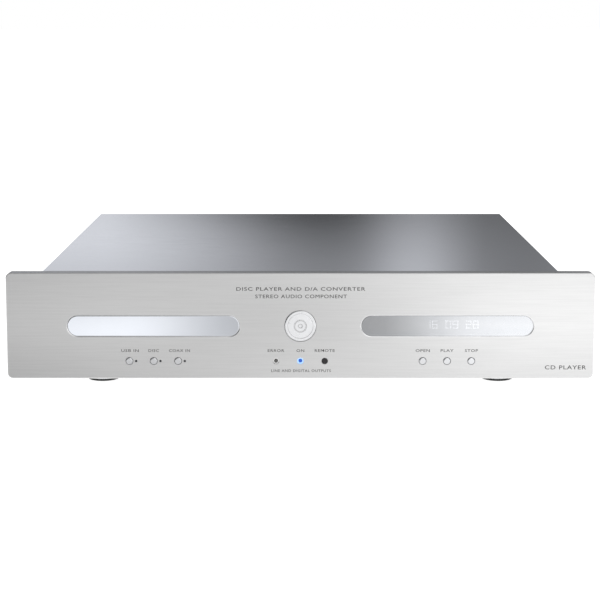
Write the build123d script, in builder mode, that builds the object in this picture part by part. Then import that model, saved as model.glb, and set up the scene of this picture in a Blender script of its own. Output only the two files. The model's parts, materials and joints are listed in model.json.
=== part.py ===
"""Full-width disc player: a thick aluminium front plate on a folded sheet case, with a motor-driven
disc drawer, pickup mechanism, mains supply and audio boards inside.

Millimetres. +X is the player's right seen from the front, +Y its back, +Z up. The origin is on the
surface that the feet stand on, under the middle of the overall width and depth.
"""
import math
import os

from build123d import *

os.makedirs("parts", exist_ok=True)

# ---------------------------------------------------------------- driving dimensions
PLATE_WIDTH = 482.0
PLATE_HEIGHT = 88.0
PLATE_THICK = 10.0
PLATE_BOTTOM = 12.0
OVERALL_DEPTH = 375.0
BUTTON_PROUD = 0.5
CASE_WIDTH = 430.0
CASE_DEPTH = 350.0
CASE_BOTTOM = 13.0
CASE_TOP = 98.5
SKIN = 2.0
SHEET = 1.5
FIT = 0.08
GAP = 0.3

FRONT = BUTTON_PROUD - OVERALL_DEPTH / 2
PLATE_BACK = FRONT + PLATE_THICK
CASE_BACK = PLATE_BACK + CASE_DEPTH
OUTLET_END = OVERALL_DEPTH / 2
ROW_Z = PLATE_BOTTOM + PLATE_HEIGHT / 2
INNER_X = CASE_WIDTH / 2 - SKIN - GAP
FLOOR = CASE_BOTTOM + SHEET
CEILING = CASE_TOP - SKIN - 0.2

# front plate features
WINDOW_X = 120.5
WINDOW_WIDTH = 141.0
WINDOW_HEIGHT = 17.0
DRAWER_GAP = 0.2
GLASS_GAP = 0.12
WINDOW_BREAK = 0.6
EMBLEM_R = 13.0
EMBLEM_DEPTH = 2.4
CONTROL_Z = PLATE_BOTTOM + 14.7
CONTROL_PITCH = 20.0
BUTTON_R = 2.9
BUTTON_GAP = 0.2
BUTTON_TRAVEL = 0.6
LED_OFFSET = 5.5
LED_R = 0.9
LAMP_R = 1.5
LAMP_POCKET_R = 2.75
LAMP_POCKET_DEPTH = 1.6
BOARD_FRONT = PLATE_BACK + 9.6
BOARD_THICK = 1.6

LEFT_BUTTONS = {
    "usb_button": -WINDOW_X - CONTROL_PITCH,
    "disc_button": -WINDOW_X,
    "coax_button": -WINDOW_X + CONTROL_PITCH,
}
RIGHT_BUTTONS = {
    "open_button": WINDOW_X - CONTROL_PITCH,
    "play_button": WINDOW_X,
    "stop_button": WINDOW_X + CONTROL_PITCH,
}
BUTTONS = {**LEFT_BUTTONS, **RIGHT_BUTTONS}
LAMPS = {"status_leds": -CONTROL_PITCH, "power_led": 0.0, "ir_sensor": CONTROL_PITCH}

# disc mechanism: the loader's middle line, the spindle and the heights that the drawer needs
LOADER_X = -WINDOW_X
SPINDLE_Y = -107.0
TRAY_HALF = 66.0
TRAY_BOTTOM = 48.6
TRAY_UNDERSIDE = 51.5
DISC_SEAT = 53.5
SMALL_SEAT = 52.7
TRAY_RIM = 57.5
DISC_R = 60.0
SMALL_DISC_R = 40.0
TRAY_SLOT_R = 23.0
TRAY_TRAVEL = 142.0
LOADER_HALF = 69.4
LOADER_WALL = 3.0
LOADER_FRONT = -162.0
LOADER_BACK = 12.0
LOADER_FOOT = 30.0
LOADER_TOP = 60.0
DECK = (34.5, 37.0)

# drawer drive
TEETH_MODULE = 1.0
RACK_X = LOADER_X + 60.0
SMALL_TEETH = 24
LARGE_TEETH = 32
PINION_TEETH = 12
GEAR_Y = -148.0
GEAR_X = RACK_X - SMALL_TEETH * TEETH_MODULE / 2
PULLEY_X = GEAR_X - (LARGE_TEETH + PINION_TEETH) * TEETH_MODULE / 2
MOTOR_X = PULLEY_X - 34.0
PULLEY_GROOVE_R = 9.6
MOTOR_GROOVE_R = 2.6
BELT_THICK = 1.2
BELT_GAP = 0.15

# traverse, sled and lift
PIVOT_Y = -14.0
PIVOT_Z = 41.5
TRAVERSE_FRONT = -130.0
TRAVERSE_HALF = 42.0
TRAVERSE_PLATE = (40.0, 43.0)
LIFT_DROP = 6.0
CAM_TRAVEL = 18.0
CAM_Y = (-135.0, -132.6)
PIN_Y = (CAM_Y[0] + CAM_Y[1]) / 2
PIN_Z = 39.2
PIN_OFFSET = 20.0
ROD_OFFSET = 24.0
ROD_R = 1.5
ROD_Z = 42.5
LENS_R_START = 23.0
SLED_TRAVEL = 34.0
SLED_MODULE = 0.6
SLED_SMALL_TEETH = 12
SLED_LARGE_TEETH = 30
SLED_PINION_TEETH = 10
SLED_RACK_X = LOADER_X + 31.2
SLED_GEAR_X = SLED_RACK_X + SLED_SMALL_TEETH * SLED_MODULE / 2
SLED_GEAR_Y = -60.0
PINION_DISTANCE = (SLED_LARGE_TEETH + SLED_PINION_TEETH) * SLED_MODULE / 2
PINION_ANGLE = 60.0
SLED_PINION_X = SLED_GEAR_X + PINION_DISTANCE * math.cos(math.radians(PINION_ANGLE))
SLED_PINION_Y = SLED_GEAR_Y + PINION_DISTANCE * math.sin(math.radians(PINION_ANGLE))

# feet, rails and fixings
FOOT_X = 168.5
FOOT_Y = 135.5
FOOT_R = 15.0
PAD_THICK = 1.8
RAIL = 10.0
SCREW_R = 1.5
SCREW_HOLE_R = 1.6
SIDE_SCREW_YS = (-150.0, 0.0, 150.0)
LOW_RAIL_Z = FLOOR + RAIL / 2
HIGH_RAIL_Z = CEILING - RAIL / 2
LOW_RAIL_X = INNER_X - SHEET - RAIL / 2
HIGH_RAIL_X = INNER_X - RAIL / 2
RAIL_SPOTS = (
    (-HIGH_RAIL_X, HIGH_RAIL_Z),
    (HIGH_RAIL_X, HIGH_RAIL_Z),
    (-LOW_RAIL_X, LOW_RAIL_Z),
    (LOW_RAIL_X, LOW_RAIL_Z),
)

# rear panel
REAR_INSIDE = CASE_BACK - SKIN
XLR_SPOTS = ((190.0, 54.0), (152.0, 54.0))
RCA_SPOTS = ((108.0, 66.0), (108.0, 42.0), (56.0, 66.0), (56.0, 42.0))
USB_SPOT = (20.0, 54.0)
INLET_SPOT = (-168.0, 53.0)
SOCKET_FLANGE = 1.8
INLET_FLANGE = 2.5
SOCKET_SCREWS = [(x + dx, z + dz) for x, z in XLR_SPOTS for dx, dz in ((-9.5, 12.0), (9.5, -12.0))]
INLET_SCREWS = [(INLET_SPOT[0] + dx, INLET_SPOT[1]) for dx in (-20.0, 20.0)]
ROCKER_Z = 70.5
ROCKER_Y = 169.5
ROCKER_TILT = 8.0

# power supply and boards
TOROID_X = 34.0
TOROID_Y = -86.0
TOROID_R = 50.0
TOROID_HEIGHT = 42.0
BOARD_LOW = 22.5
BOARD_HIGH = BOARD_LOW + BOARD_THICK


# ---------------------------------------------------------------- helpers
def save(builder, name):
    """Labels a finished sub-part and writes it as parts/NAME.step."""
    builder.part.label = name
    export_step(builder.part, f"parts/{name}.step")


def facing_front(y):
    """A plane at Y = y whose normal points to the front, with local axes X and Z."""
    return Plane.XZ.offset(-y)


def slab(xs, ys, zs, mode=Mode.ADD):
    """A block from low to high along each axis, in the active part."""
    centre = tuple((low + high) / 2 for low, high in (xs, ys, zs))
    with Locations(centre):
        Box(xs[1] - xs[0], ys[1] - ys[0], zs[1] - zs[0], mode=mode)


def upright(x, y, radius, zs, mode=Mode.ADD):
    """A cylinder along Z, in the active part."""
    with Locations((x, y, (zs[0] + zs[1]) / 2)):
        Cylinder(radius, zs[1] - zs[0], mode=mode)


def along_y(x, z, radius, ys, mode=Mode.ADD):
    """A cylinder along Y, in the active part."""
    with Locations(Location((x, (ys[0] + ys[1]) / 2, z), (90, 0, 0))):
        Cylinder(radius, ys[1] - ys[0], mode=mode)


def along_x(y, z, radius, xs, mode=Mode.ADD):
    """A cylinder along X, in the active part."""
    with Locations(Location(((xs[0] + xs[1]) / 2, y, z), (0, 90, 0))):
        Cylinder(radius, xs[1] - xs[0], mode=mode)


def mirrored(value):
    """The value on both sides of the middle."""
    return (-value, value)


# ---------------------------------------------------------------- front plate
with BuildPart() as front_panel:
    with BuildSketch(facing_front(PLATE_BACK)):
        with Locations((0, ROW_Z)):
            RectangleRounded(PLATE_WIDTH, PLATE_HEIGHT, 4.5)
    extrude(amount=PLATE_THICK)
    chamfer(front_panel.faces().sort_by(Axis.Y)[0].edges(), 0.6)
    with BuildSketch(facing_front(PLATE_BACK)):
        for middle, gap in ((-WINDOW_X, DRAWER_GAP), (WINDOW_X, GLASS_GAP)):
            with Locations((middle, ROW_Z)):
                SlotOverall(WINDOW_WIDTH + 2 * gap, WINDOW_HEIGHT + 2 * gap)
        with Locations([(x, CONTROL_Z) for x in BUTTONS.values()]):
            Circle(BUTTON_R + BUTTON_GAP)
        with Locations([(x + LED_OFFSET, CONTROL_Z) for x in LEFT_BUTTONS.values()]):
            Circle(LED_R + 0.1)
        with Locations([(x, CONTROL_Z) for x in LAMPS.values()]):
            Circle(LAMP_R + 0.1)
        with Locations((0, ROW_Z)):
            Circle(2.6)
    extrude(amount=PLATE_THICK, mode=Mode.SUBTRACT)
    # the openings' front edges are broken, the windows' more than the holes' and at a flatter angle
    face = front_panel.faces().sort_by(Axis.Y)[0]
    windows = face.inner_wires().filter_by(lambda wire: wire.length > 100)
    chamfer(windows.edges(), WINDOW_BREAK, WINDOW_BREAK / 2, reference=face)
    openings = front_panel.faces().sort_by(Axis.Y)[0].inner_wires()
    chamfer(openings.filter_by(lambda wire: 19 < wire.length < 20).edges(), 0.2)
    with BuildSketch(facing_front(FRONT + EMBLEM_DEPTH)):
        with Locations((0, ROW_Z)):
            Circle(EMBLEM_R + 0.15)
    extrude(amount=EMBLEM_DEPTH, mode=Mode.SUBTRACT)
    with BuildSketch(facing_front(FRONT + LAMP_POCKET_DEPTH)):
        with Locations([(x, CONTROL_Z) for x in LAMPS.values()]):
            Circle(LAMP_POCKET_R)
    extrude(amount=LAMP_POCKET_DEPTH, mode=Mode.SUBTRACT)
    # blind threaded holes for the screws that hold the plate from behind
    PLATE_FIXINGS = [(x, z) for x in (-200.0, -24.0, 24.0, 200.0) for z in (36.0, 84.0)]
    with BuildSketch(facing_front(PLATE_BACK)):
        with Locations(PLATE_FIXINGS):
            Circle(SCREW_HOLE_R)
    extrude(amount=7.0, mode=Mode.SUBTRACT)
save(front_panel, "front_panel")

# ---------------------------------------------------------------- emblem: a plain ringed disc on a stud
with BuildPart() as emblem_disc:
    with BuildSketch(Plane.YZ):
        with BuildLine():
            Polyline(
                (PLATE_BACK + 3.0, ROW_Z),
                (PLATE_BACK + 3.0, ROW_Z + 2.5),
                (FRONT + EMBLEM_DEPTH, ROW_Z + 2.5),
                (FRONT + EMBLEM_DEPTH, ROW_Z + EMBLEM_R),
                (FRONT + 0.4, ROW_Z + EMBLEM_R),
                (FRONT + 0.1, ROW_Z + EMBLEM_R - 0.15),
                (FRONT - 0.15, ROW_Z + EMBLEM_R - 0.45),
                (FRONT - 0.3, ROW_Z + EMBLEM_R - 0.9),
                (FRONT - 0.3, ROW_Z + 10.5),
                (FRONT, ROW_Z + 10.2),
                (FRONT - 0.1, ROW_Z + 9.8),
                (FRONT - 0.2, ROW_Z + 5.3),
                (FRONT + 0.1, ROW_Z + 5.0),
                (FRONT + 0.1, ROW_Z + 4.6),
                (FRONT - 0.2, ROW_Z + 4.3),
                (FRONT - 0.2, ROW_Z + 1.9),
                (FRONT + 0.3, ROW_Z + 1.4),
                (FRONT + 0.3, ROW_Z),
                close=True,
            )
        make_face()
    revolve(axis=Axis((0, 0, ROW_Z), (0, 1, 0)))
save(emblem_disc, "emblem_disc")

# ---------------------------------------------------------------- sub-plate behind the front plate
with BuildPart() as front_subplate:
    slab((-INNER_X, INNER_X), (PLATE_BACK, PLATE_BACK + 2.0), (FLOOR, CEILING))
    slab((-200.0, 200.0), (PLATE_BACK + 2.0, PLATE_BACK + 12.0), (FLOOR, FLOOR + SHEET))
    with BuildSketch(facing_front(PLATE_BACK + 2.0)):
        with Locations((-WINDOW_X, ROW_Z), (WINDOW_X, ROW_Z)):
            RectangleRounded(WINDOW_WIDTH + 11, WINDOW_HEIGHT + 9, 4.0)
        with Locations((-WINDOW_X + 2, CONTROL_Z), (0, CONTROL_Z), (WINDOW_X, CONTROL_Z)):
            RectangleRounded(56.0, 13.0, 4.0)
        with Locations((0, ROW_Z)):
            Circle(5.0)
        with Locations(PLATE_FIXINGS):
            Circle(SCREW_HOLE_R)
    extrude(amount=2.0, mode=Mode.SUBTRACT)
    for x, z in RAIL_SPOTS:
        with Locations(Location((x, PLATE_BACK, z), (90, 0, 0))):
            CounterSinkHole(SCREW_HOLE_R, 3.2, 3.0)
save(front_subplate, "front_subplate")

# ---------------------------------------------------------------- base plate
VENT_ROWS = 12
FOOT_SPOTS = [(x, y) for x in mirrored(FOOT_X) for y in mirrored(FOOT_Y)]
with BuildPart() as base_plate:
    slab((-INNER_X, INNER_X), (PLATE_BACK, CASE_BACK), (CASE_BOTTOM, FLOOR))
    for side in mirrored(INNER_X - SHEET / 2):
        slab((side - SHEET / 2, side + SHEET / 2), (PLATE_BACK + 6, CASE_BACK - 6), (FLOOR, FLOOR + 16))
    with BuildSketch(Plane.XY.offset(CASE_BOTTOM)):
        with Locations((110.0, 110.0), (-95.0, 95.0), (150.0, -85.0)):
            with GridLocations(7.0, 0, VENT_ROWS, 1):
                SlotOverall(44.0, 3.0, rotation=90)
        with Locations(FOOT_SPOTS):
            Circle(2.1)
        with Locations((TOROID_X, TOROID_Y)):
            Circle(3.1)
    extrude(amount=SHEET, mode=Mode.SUBTRACT)
    for y in SIDE_SCREW_YS:
        along_x(y, LOW_RAIL_Z, SCREW_HOLE_R, (-INNER_X - 1, INNER_X + 1), mode=Mode.SUBTRACT)
save(base_plate, "base_plate")

# ---------------------------------------------------------------- top cover: one sheet folded down both sides
with BuildPart() as top_cover:
    with BuildSketch(facing_front(CASE_BACK)) as cover_section:
        with Locations((0, (CASE_BOTTOM + CASE_TOP) / 2)):
            Rectangle(CASE_WIDTH, CASE_TOP - CASE_BOTTOM)
        fillet(cover_section.vertices().group_by(Axis.Y)[-1], 2.2)
        with Locations((0, (CASE_BOTTOM + CASE_TOP) / 2 - SKIN)):
            Rectangle(CASE_WIDTH - 2 * SKIN, CASE_TOP - CASE_BOTTOM, mode=Mode.SUBTRACT)
    extrude(amount=CASE_DEPTH)
    for y in SIDE_SCREW_YS:
        along_x(y, LOW_RAIL_Z, SCREW_HOLE_R, (-CASE_WIDTH, CASE_WIDTH), mode=Mode.SUBTRACT)
save(top_cover, "top_cover")

# ---------------------------------------------------------------- rear panel
with BuildPart() as rear_panel:
    slab((-INNER_X, INNER_X), (REAR_INSIDE, CASE_BACK), (FLOOR, CEILING))
    with BuildSketch(facing_front(CASE_BACK)):
        with Locations(XLR_SPOTS):
            Circle(12.0)
        with Locations(RCA_SPOTS):
            Circle(5.2)
        with Locations(USB_SPOT):
            Rectangle(12.4, 11.4)
        with Locations(INLET_SPOT):
            Rectangle(29.0, 55.0)
        with Locations((-76.0, ROW_Z)):
            with GridLocations(7.0, 0, 13, 1):
                SlotOverall(40.0, 3.0, rotation=90)
        with Locations(RAIL_SPOTS):
            Circle(SCREW_HOLE_R)
        with Locations(SOCKET_SCREWS + INLET_SCREWS):
            Circle(SCREW_HOLE_R)
    extrude(amount=SKIN, mode=Mode.SUBTRACT)
save(rear_panel, "rear_panel")

# ---------------------------------------------------------------- four rails between sub-plate and rear panel
RAIL_ENDS = (PLATE_BACK + 2.0, REAR_INSIDE)
with BuildPart() as side_rails:
    for x, z in RAIL_SPOTS:
        slab((x - RAIL / 2, x + RAIL / 2), RAIL_ENDS, (z - RAIL / 2, z + RAIL / 2))
        along_y(x, z, SCREW_HOLE_R, (REAR_INSIDE - 12, REAR_INSIDE), mode=Mode.SUBTRACT)
        along_y(x, z, SCREW_HOLE_R, (RAIL_ENDS[0], RAIL_ENDS[0] + 12), mode=Mode.SUBTRACT)
    for y in SIDE_SCREW_YS:
        along_x(y, LOW_RAIL_Z, SCREW_HOLE_R, (-CASE_WIDTH, CASE_WIDTH), mode=Mode.SUBTRACT)
save(side_rails, "side_rails")

# ---------------------------------------------------------------- screws
# one button-head screw along Z, its socket head above Z = 0 and its shank below
with BuildPart() as button_screw:
    with BuildSketch(Plane.XZ):
        with BuildLine():
            Polyline((0, -8.0), (SCREW_R, -8.0), (SCREW_R, 0), (2.9, 0), (2.9, 0.5))
            TangentArc((2.9, 0.5), (1.2, 1.7), tangent=(0, 1))
            Polyline((1.2, 1.7), (0, 1.7), (0, -8.0))
        make_face()
    revolve(axis=Axis.Z)
    with BuildSketch(Plane.XY.offset(0.5)):
        RegularPolygon(1.1, 6)
    extrude(amount=2.0, mode=Mode.SUBTRACT)

# one countersunk screw along Z, its flat head's top at Z = 0
with BuildPart() as flat_screw:
    with BuildSketch(Plane.XZ):
        with BuildLine():
            Polyline((0, -8.0), (SCREW_R, -8.0), (SCREW_R, -1.5), (2.8, -0.2), (2.8, 0), (0, 0), close=True)
        make_face()
    revolve(axis=Axis.Z)

with BuildPart() as chassis_screws:
    for y in SIDE_SCREW_YS:
        with Locations(
            Location((CASE_WIDTH / 2, y, LOW_RAIL_Z), (0, 90, 0)),
            Location((-CASE_WIDTH / 2, y, LOW_RAIL_Z), (0, -90, 0)),
        ):
            add(button_screw.part)
    for y, spots in (
        (CASE_BACK, RAIL_SPOTS),
        (CASE_BACK + SOCKET_FLANGE, SOCKET_SCREWS),
        (CASE_BACK + INLET_FLANGE, INLET_SCREWS),
        (PLATE_BACK + 2.0, PLATE_FIXINGS),
    ):
        with Locations([Location((x, y, z), (-90, 0, 0)) for x, z in spots]):
            add(button_screw.part)
    with Locations([Location((x, PLATE_BACK, z), (90, 0, 0)) for x, z in RAIL_SPOTS]):
        add(flat_screw.part)
save(chassis_screws, "chassis_screws")

# ---------------------------------------------------------------- feet
with BuildPart() as foot:
    with BuildSketch(Plane.XZ):
        with BuildLine():
            Polyline(
                (2.2, CASE_BOTTOM),
                (FOOT_R + 1.0, CASE_BOTTOM),
                (FOOT_R + 1.0, CASE_BOTTOM - 3.0),
                (FOOT_R, CASE_BOTTOM - 4.0),
                (FOOT_R, PAD_THICK + 0.6),
                (FOOT_R - 0.6, PAD_THICK),
                (5.0, PAD_THICK),
                (5.0, 6.0),
                (2.2, 6.0),
                close=True,
            )
        make_face()
    revolve(axis=Axis.Z)

with BuildPart() as foot_pad:
    upright(0, 0, FOOT_R - 0.8, (0, PAD_THICK))
    upright(0, 0, 4.9, (PAD_THICK, 3.0))
    chamfer(foot_pad.edges().group_by(Axis.Z)[0], 0.4)

with BuildPart() as foot_screw:
    upright(0, 0, 4.0, (3.2, 6.0))
    upright(0, 0, 2.0, (6.0, FLOOR + 4.0))
    chamfer(foot_screw.edges().group_by(Axis.Z)[0], 0.5)
    with BuildSketch(Plane.XY.offset(FLOOR)):
        RegularPolygon(3.9, 6)
    extrude(amount=3.0)

for name, piece in (("feet", foot), ("foot_pads", foot_pad), ("foot_screws", foot_screw)):
    with BuildPart() as four:
        with Locations(FOOT_SPOTS):
            add(piece.part)
    save(four, name)

# ---------------------------------------------------------------- display window, display and front boards
with BuildPart() as display_window:
    with BuildSketch(facing_front(PLATE_BACK)):
        with Locations((WINDOW_X, ROW_Z)):
            SlotOverall(WINDOW_WIDTH, WINDOW_HEIGHT)
    extrude(amount=PLATE_THICK - 0.15)
    chamfer(display_window.faces().sort_by(Axis.Y)[0].edges(), 0.2)
    with BuildSketch(facing_front(PLATE_BACK + 1.8)):
        with Locations((WINDOW_X, ROW_Z)):
            RectangleRounded(WINDOW_WIDTH + 7, WINDOW_HEIGHT + 5, 4.0)
    extrude(amount=1.8)
    with BuildSketch(facing_front(PLATE_BACK + 1.8)):
        with Locations((WINDOW_X, ROW_Z)):
            SlotOverall(WINDOW_WIDTH - 4, WINDOW_HEIGHT - 3)
    extrude(amount=PLATE_THICK + 1.8 - 3.15, mode=Mode.SUBTRACT)
save(display_window, "display_window")

with BuildPart() as display_module:
    with BuildSketch(facing_front(BOARD_FRONT)):
        with Locations((WINDOW_X, ROW_Z)):
            RectangleRounded(128.0, 22.0, 1.5)
    extrude(amount=5.5)
    chamfer(display_module.faces().sort_by(Axis.Y)[0].edges(), 0.5)
save(display_module, "display_module")

FRONT_POSTS = [(middle + dx, CONTROL_Z) for middle in (-WINDOW_X, 0.0) for dx in (-34.0, 34.0)]
FRONT_POSTS += [(WINDOW_X + dx, z) for dx in (-69.0, 69.0) for z in (30.0, 74.5)]
with BuildPart() as front_boards:
    for middle in (-WINDOW_X, 0.0):
        slab((middle - 38, middle + 38), (BOARD_FRONT, BOARD_FRONT + BOARD_THICK), (17.5, 35.5))
    slab((WINDOW_X - 74, WINDOW_X + 74), (BOARD_FRONT, BOARD_FRONT + BOARD_THICK), (17.5, 79.0))
    for x, z in FRONT_POSTS:
        along_y(x, z, 1.6, (BOARD_FRONT, BOARD_FRONT + BOARD_THICK), mode=Mode.SUBTRACT)
save(front_boards, "front_boards")

# ---------------------------------------------------------------- push buttons and their switches
for name, x in BUTTONS.items():
    with BuildPart() as button:
        along_y(x, CONTROL_Z, BUTTON_R, (FRONT - BUTTON_PROUD, PLATE_BACK + 0.1))
        fillet(button.edges().filter_by(GeomType.CIRCLE).sort_by(Axis.Y)[0], 0.95)
        along_y(x, CONTROL_Z, 4.2, (PLATE_BACK + 0.1, PLATE_BACK + 1.3))
        along_y(x, CONTROL_Z, 1.5, (PLATE_BACK + 1.3, PLATE_BACK + 4.8))
    save(button, name)

SWITCH_DEPTH = 4.0
with BuildPart() as button_switches:
    for x in BUTTONS.values():
        with BuildSketch(facing_front(BOARD_FRONT)):
            with Locations((x, CONTROL_Z)):
                RectangleRounded(6.2, 6.2, 0.6)
        extrude(amount=SWITCH_DEPTH)
save(button_switches, "button_switches")

# ---------------------------------------------------------------- indicator lamps and remote sensor
with BuildPart() as status_leds:
    for x in LEFT_BUTTONS.values():
        along_y(x + LED_OFFSET, CONTROL_Z, LED_R, (FRONT + 0.2, BOARD_FRONT))
    along_y(LAMPS["status_leds"], CONTROL_Z, LAMP_R, (FRONT + 1.6, BOARD_FRONT))
    with Locations((LAMPS["status_leds"], FRONT + 1.6, CONTROL_Z)):
        Sphere(LAMP_R)
save(status_leds, "status_leds")

with BuildPart() as power_led:
    along_y(LAMPS["power_led"], CONTROL_Z, LAMP_R, (FRONT + 1.6, BOARD_FRONT))
    with Locations((LAMPS["power_led"], FRONT + 1.6, CONTROL_Z)):
        Sphere(LAMP_R)
save(power_led, "power_led")

with BuildPart() as ir_sensor:
    along_y(LAMPS["ir_sensor"], CONTROL_Z, LAMP_POCKET_R - 0.15, (FRONT + 0.7, FRONT + LAMP_POCKET_DEPTH))
    fillet(ir_sensor.edges().sort_by(Axis.Y)[0], 0.4)
    along_y(LAMPS["ir_sensor"], CONTROL_Z, LAMP_R, (FRONT + LAMP_POCKET_DEPTH, BOARD_FRONT))
save(ir_sensor, "ir_sensor")

# ---------------------------------------------------------------- drawer: front bar and tray
TRAY_WALL = (-182.0, -176.0)
TRAY_PLATE_END = -16.0
TRAY_END = 4.0
with BuildPart() as tray_front:
    with BuildSketch(facing_front(TRAY_WALL[0])):
        with Locations((LOADER_X, ROW_Z)):
            SlotOverall(WINDOW_WIDTH, WINDOW_HEIGHT)
    extrude(amount=TRAY_WALL[0] - FRONT)
    face = tray_front.faces().sort_by(Axis.Y)[0]
    chamfer(face.edges(), 0.5, 0.25, reference=face)
save(tray_front, "tray_front")

RACK_PITCH = math.pi * TEETH_MODULE


def rack_tooth(pitch, module, height, depth):
    """One rack tooth's outline: pitch line on the local Y axis, its tip towards -X, backlash taken off."""
    half = pitch / 4 - 0.07 * module
    slope = math.tan(math.radians(20))
    with BuildSketch() as tooth:
        with BuildLine():
            Polyline(
                (-height, half - height * slope),
                (depth, half + depth * slope),
                (depth, -half - depth * slope),
                (-height, -half + height * slope),
                close=True,
            )
        make_face()
    return tooth.sketch


with BuildPart() as disc_tray:
    x_low, x_high = LOADER_X - TRAY_HALF, LOADER_X + TRAY_HALF
    slab((x_low, x_high), (TRAY_WALL[0], TRAY_PLATE_END), (TRAY_UNDERSIDE, TRAY_RIM))
    slab((x_low, x_high), TRAY_WALL, (TRAY_BOTTOM, TRAY_RIM + 2.5))
    for low in (x_low, x_high - 4.0):
        slab((low, low + 4.0), (TRAY_WALL[0], TRAY_END), (TRAY_BOTTOM, TRAY_RIM))
    # seats for the large and the small disc, and a finger dip at the front edge
    upright(LOADER_X, SPINDLE_Y, DISC_R + 0.6, (DISC_SEAT, TRAY_RIM), mode=Mode.SUBTRACT)
    upright(LOADER_X, SPINDLE_Y, SMALL_DISC_R + 0.6, (SMALL_SEAT, TRAY_RIM), mode=Mode.SUBTRACT)
    upright(LOADER_X, SPINDLE_Y - DISC_R, 8.0, (SMALL_SEAT - 0.4, TRAY_RIM), mode=Mode.SUBTRACT)
    # the slot for the spindle and the pickup, open at the back
    upright(LOADER_X, SPINDLE_Y, TRAY_SLOT_R, (TRAY_BOTTOM, TRAY_RIM), mode=Mode.SUBTRACT)
    slab(
        (LOADER_X - TRAY_SLOT_R, LOADER_X + TRAY_SLOT_R),
        (SPINDLE_Y, TRAY_END),
        (TRAY_BOTTOM, TRAY_RIM),
        mode=Mode.SUBTRACT,
    )
    # guide grooves along both outer sides
    for low in (x_low, x_high - 2.0):
        slab((low, low + 2.0), (TRAY_WALL[1] + 2, TRAY_END), (53.0, 55.4), mode=Mode.SUBTRACT)
    # rack along the right rail, over the drive gear for the whole travel
    for k in range(-3, 47):
        with BuildSketch(Plane.XY.offset(TRAY_BOTTOM)):
            with Locations((RACK_X, GEAR_Y + (k + 0.5) * RACK_PITCH)):
                add(rack_tooth(RACK_PITCH, TEETH_MODULE, 0.8, 1.3))
        extrude(amount=TRAY_UNDERSIDE - TRAY_BOTTOM)
    slab(
        (RACK_X + 1.25 * TEETH_MODULE, x_high - 3.9),
        (GEAR_Y - 8.5, TRAY_END),
        (TRAY_BOTTOM, TRAY_UNDERSIDE),
    )
save(disc_tray, "disc_tray")


# ---------------------------------------------------------------- gears
def gear_outline(teeth, module, first_tooth):
    """A spur gear's outline with involute flanks, one tooth centred on the angle first_tooth (degrees)."""
    pitch_r = teeth * module / 2
    base_r = pitch_r * math.cos(math.radians(20))
    tip_r = pitch_r + 0.8 * module
    root_r = pitch_r - 1.15 * module

    def half_angle(radius):
        """Half a tooth's angular width at a radius, less the backlash."""
        pressure = math.acos(min(1.0, base_r / max(radius, base_r)))
        involute = math.tan(pressure) - pressure
        at_pitch = math.tan(math.radians(20)) - math.radians(20)
        return (math.pi / 2 - 0.14) / teeth + at_pitch - involute

    radii = [root_r + (tip_r - root_r) * share for share in (0, 0.3, 0.55, 0.8, 1.0)]
    points = []
    for tooth in range(teeth):
        middle = math.radians(first_tooth) + tooth * 2 * math.pi / teeth
        flank = [(radius, half_angle(radius)) for radius in radii]
        for radius, half in flank:
            points.append((radius * math.cos(middle - half), radius * math.sin(middle - half)))
        for radius, half in reversed(flank):
            points.append((radius * math.cos(middle + half), radius * math.sin(middle + half)))
    with BuildSketch() as outline:
        with BuildLine():
            Polyline(*points, close=True)
        make_face()
    return outline.sketch


def gear_rim(teeth, module, first_tooth, x, y, zs):
    """A toothed disc in the active part."""
    with BuildSketch(Plane.XY.offset(zs[0])) as rim:
        with Locations((x, y)):
            add(gear_outline(teeth, module, first_tooth))
    extrude(to_extrude=rim.sketch, amount=zs[1] - zs[0])


LARGE_GEAR_Z = (44.0, 47.6)
SMALL_GEAR_Z = (47.6, 51.2)
PULLEY_Z = (37.6, 41.6)
BELT_MID_Z = sum(PULLEY_Z) / 2

with BuildPart() as tray_gear:
    gear_rim(LARGE_TEETH, TEETH_MODULE, 180 + 180 / LARGE_TEETH, GEAR_X, GEAR_Y, LARGE_GEAR_Z)
    gear_rim(SMALL_TEETH, TEETH_MODULE, 0.0, GEAR_X, GEAR_Y, SMALL_GEAR_Z)
    upright(GEAR_X, GEAR_Y, 4.5, (37.4, LARGE_GEAR_Z[0]))
    with Locations((GEAR_X, GEAR_Y, LARGE_GEAR_Z[0])):
        with PolarLocations(11.0, 6):
            Cylinder(2.4, 2 * (LARGE_GEAR_Z[1] - LARGE_GEAR_Z[0]) - 4.0, mode=Mode.SUBTRACT)
    upright(GEAR_X, GEAR_Y, 2.0 + FIT, (37.4, SMALL_GEAR_Z[1]), mode=Mode.SUBTRACT)
save(tray_gear, "tray_gear")


def grooved_pulley(x, y, flange_r, groove_r):
    """A belt pulley's rim, its groove at the belt's height, in the active part."""
    with BuildSketch(Plane.XZ.offset(-y)) as section:
        with BuildLine():
            Polyline(
                (x, PULLEY_Z[0]),
                (x + flange_r, PULLEY_Z[0]),
                (x + flange_r, PULLEY_Z[0] + 0.7),
                (x + groove_r, PULLEY_Z[0] + 1.2),
                (x + groove_r, PULLEY_Z[1] - 1.2),
                (x + flange_r, PULLEY_Z[1] - 0.7),
                (x + flange_r, PULLEY_Z[1]),
                (x, PULLEY_Z[1]),
                close=True,
            )
        make_face()
    revolve(section.sketch, axis=Axis((x, y, 0), (0, 0, 1)))


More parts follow.
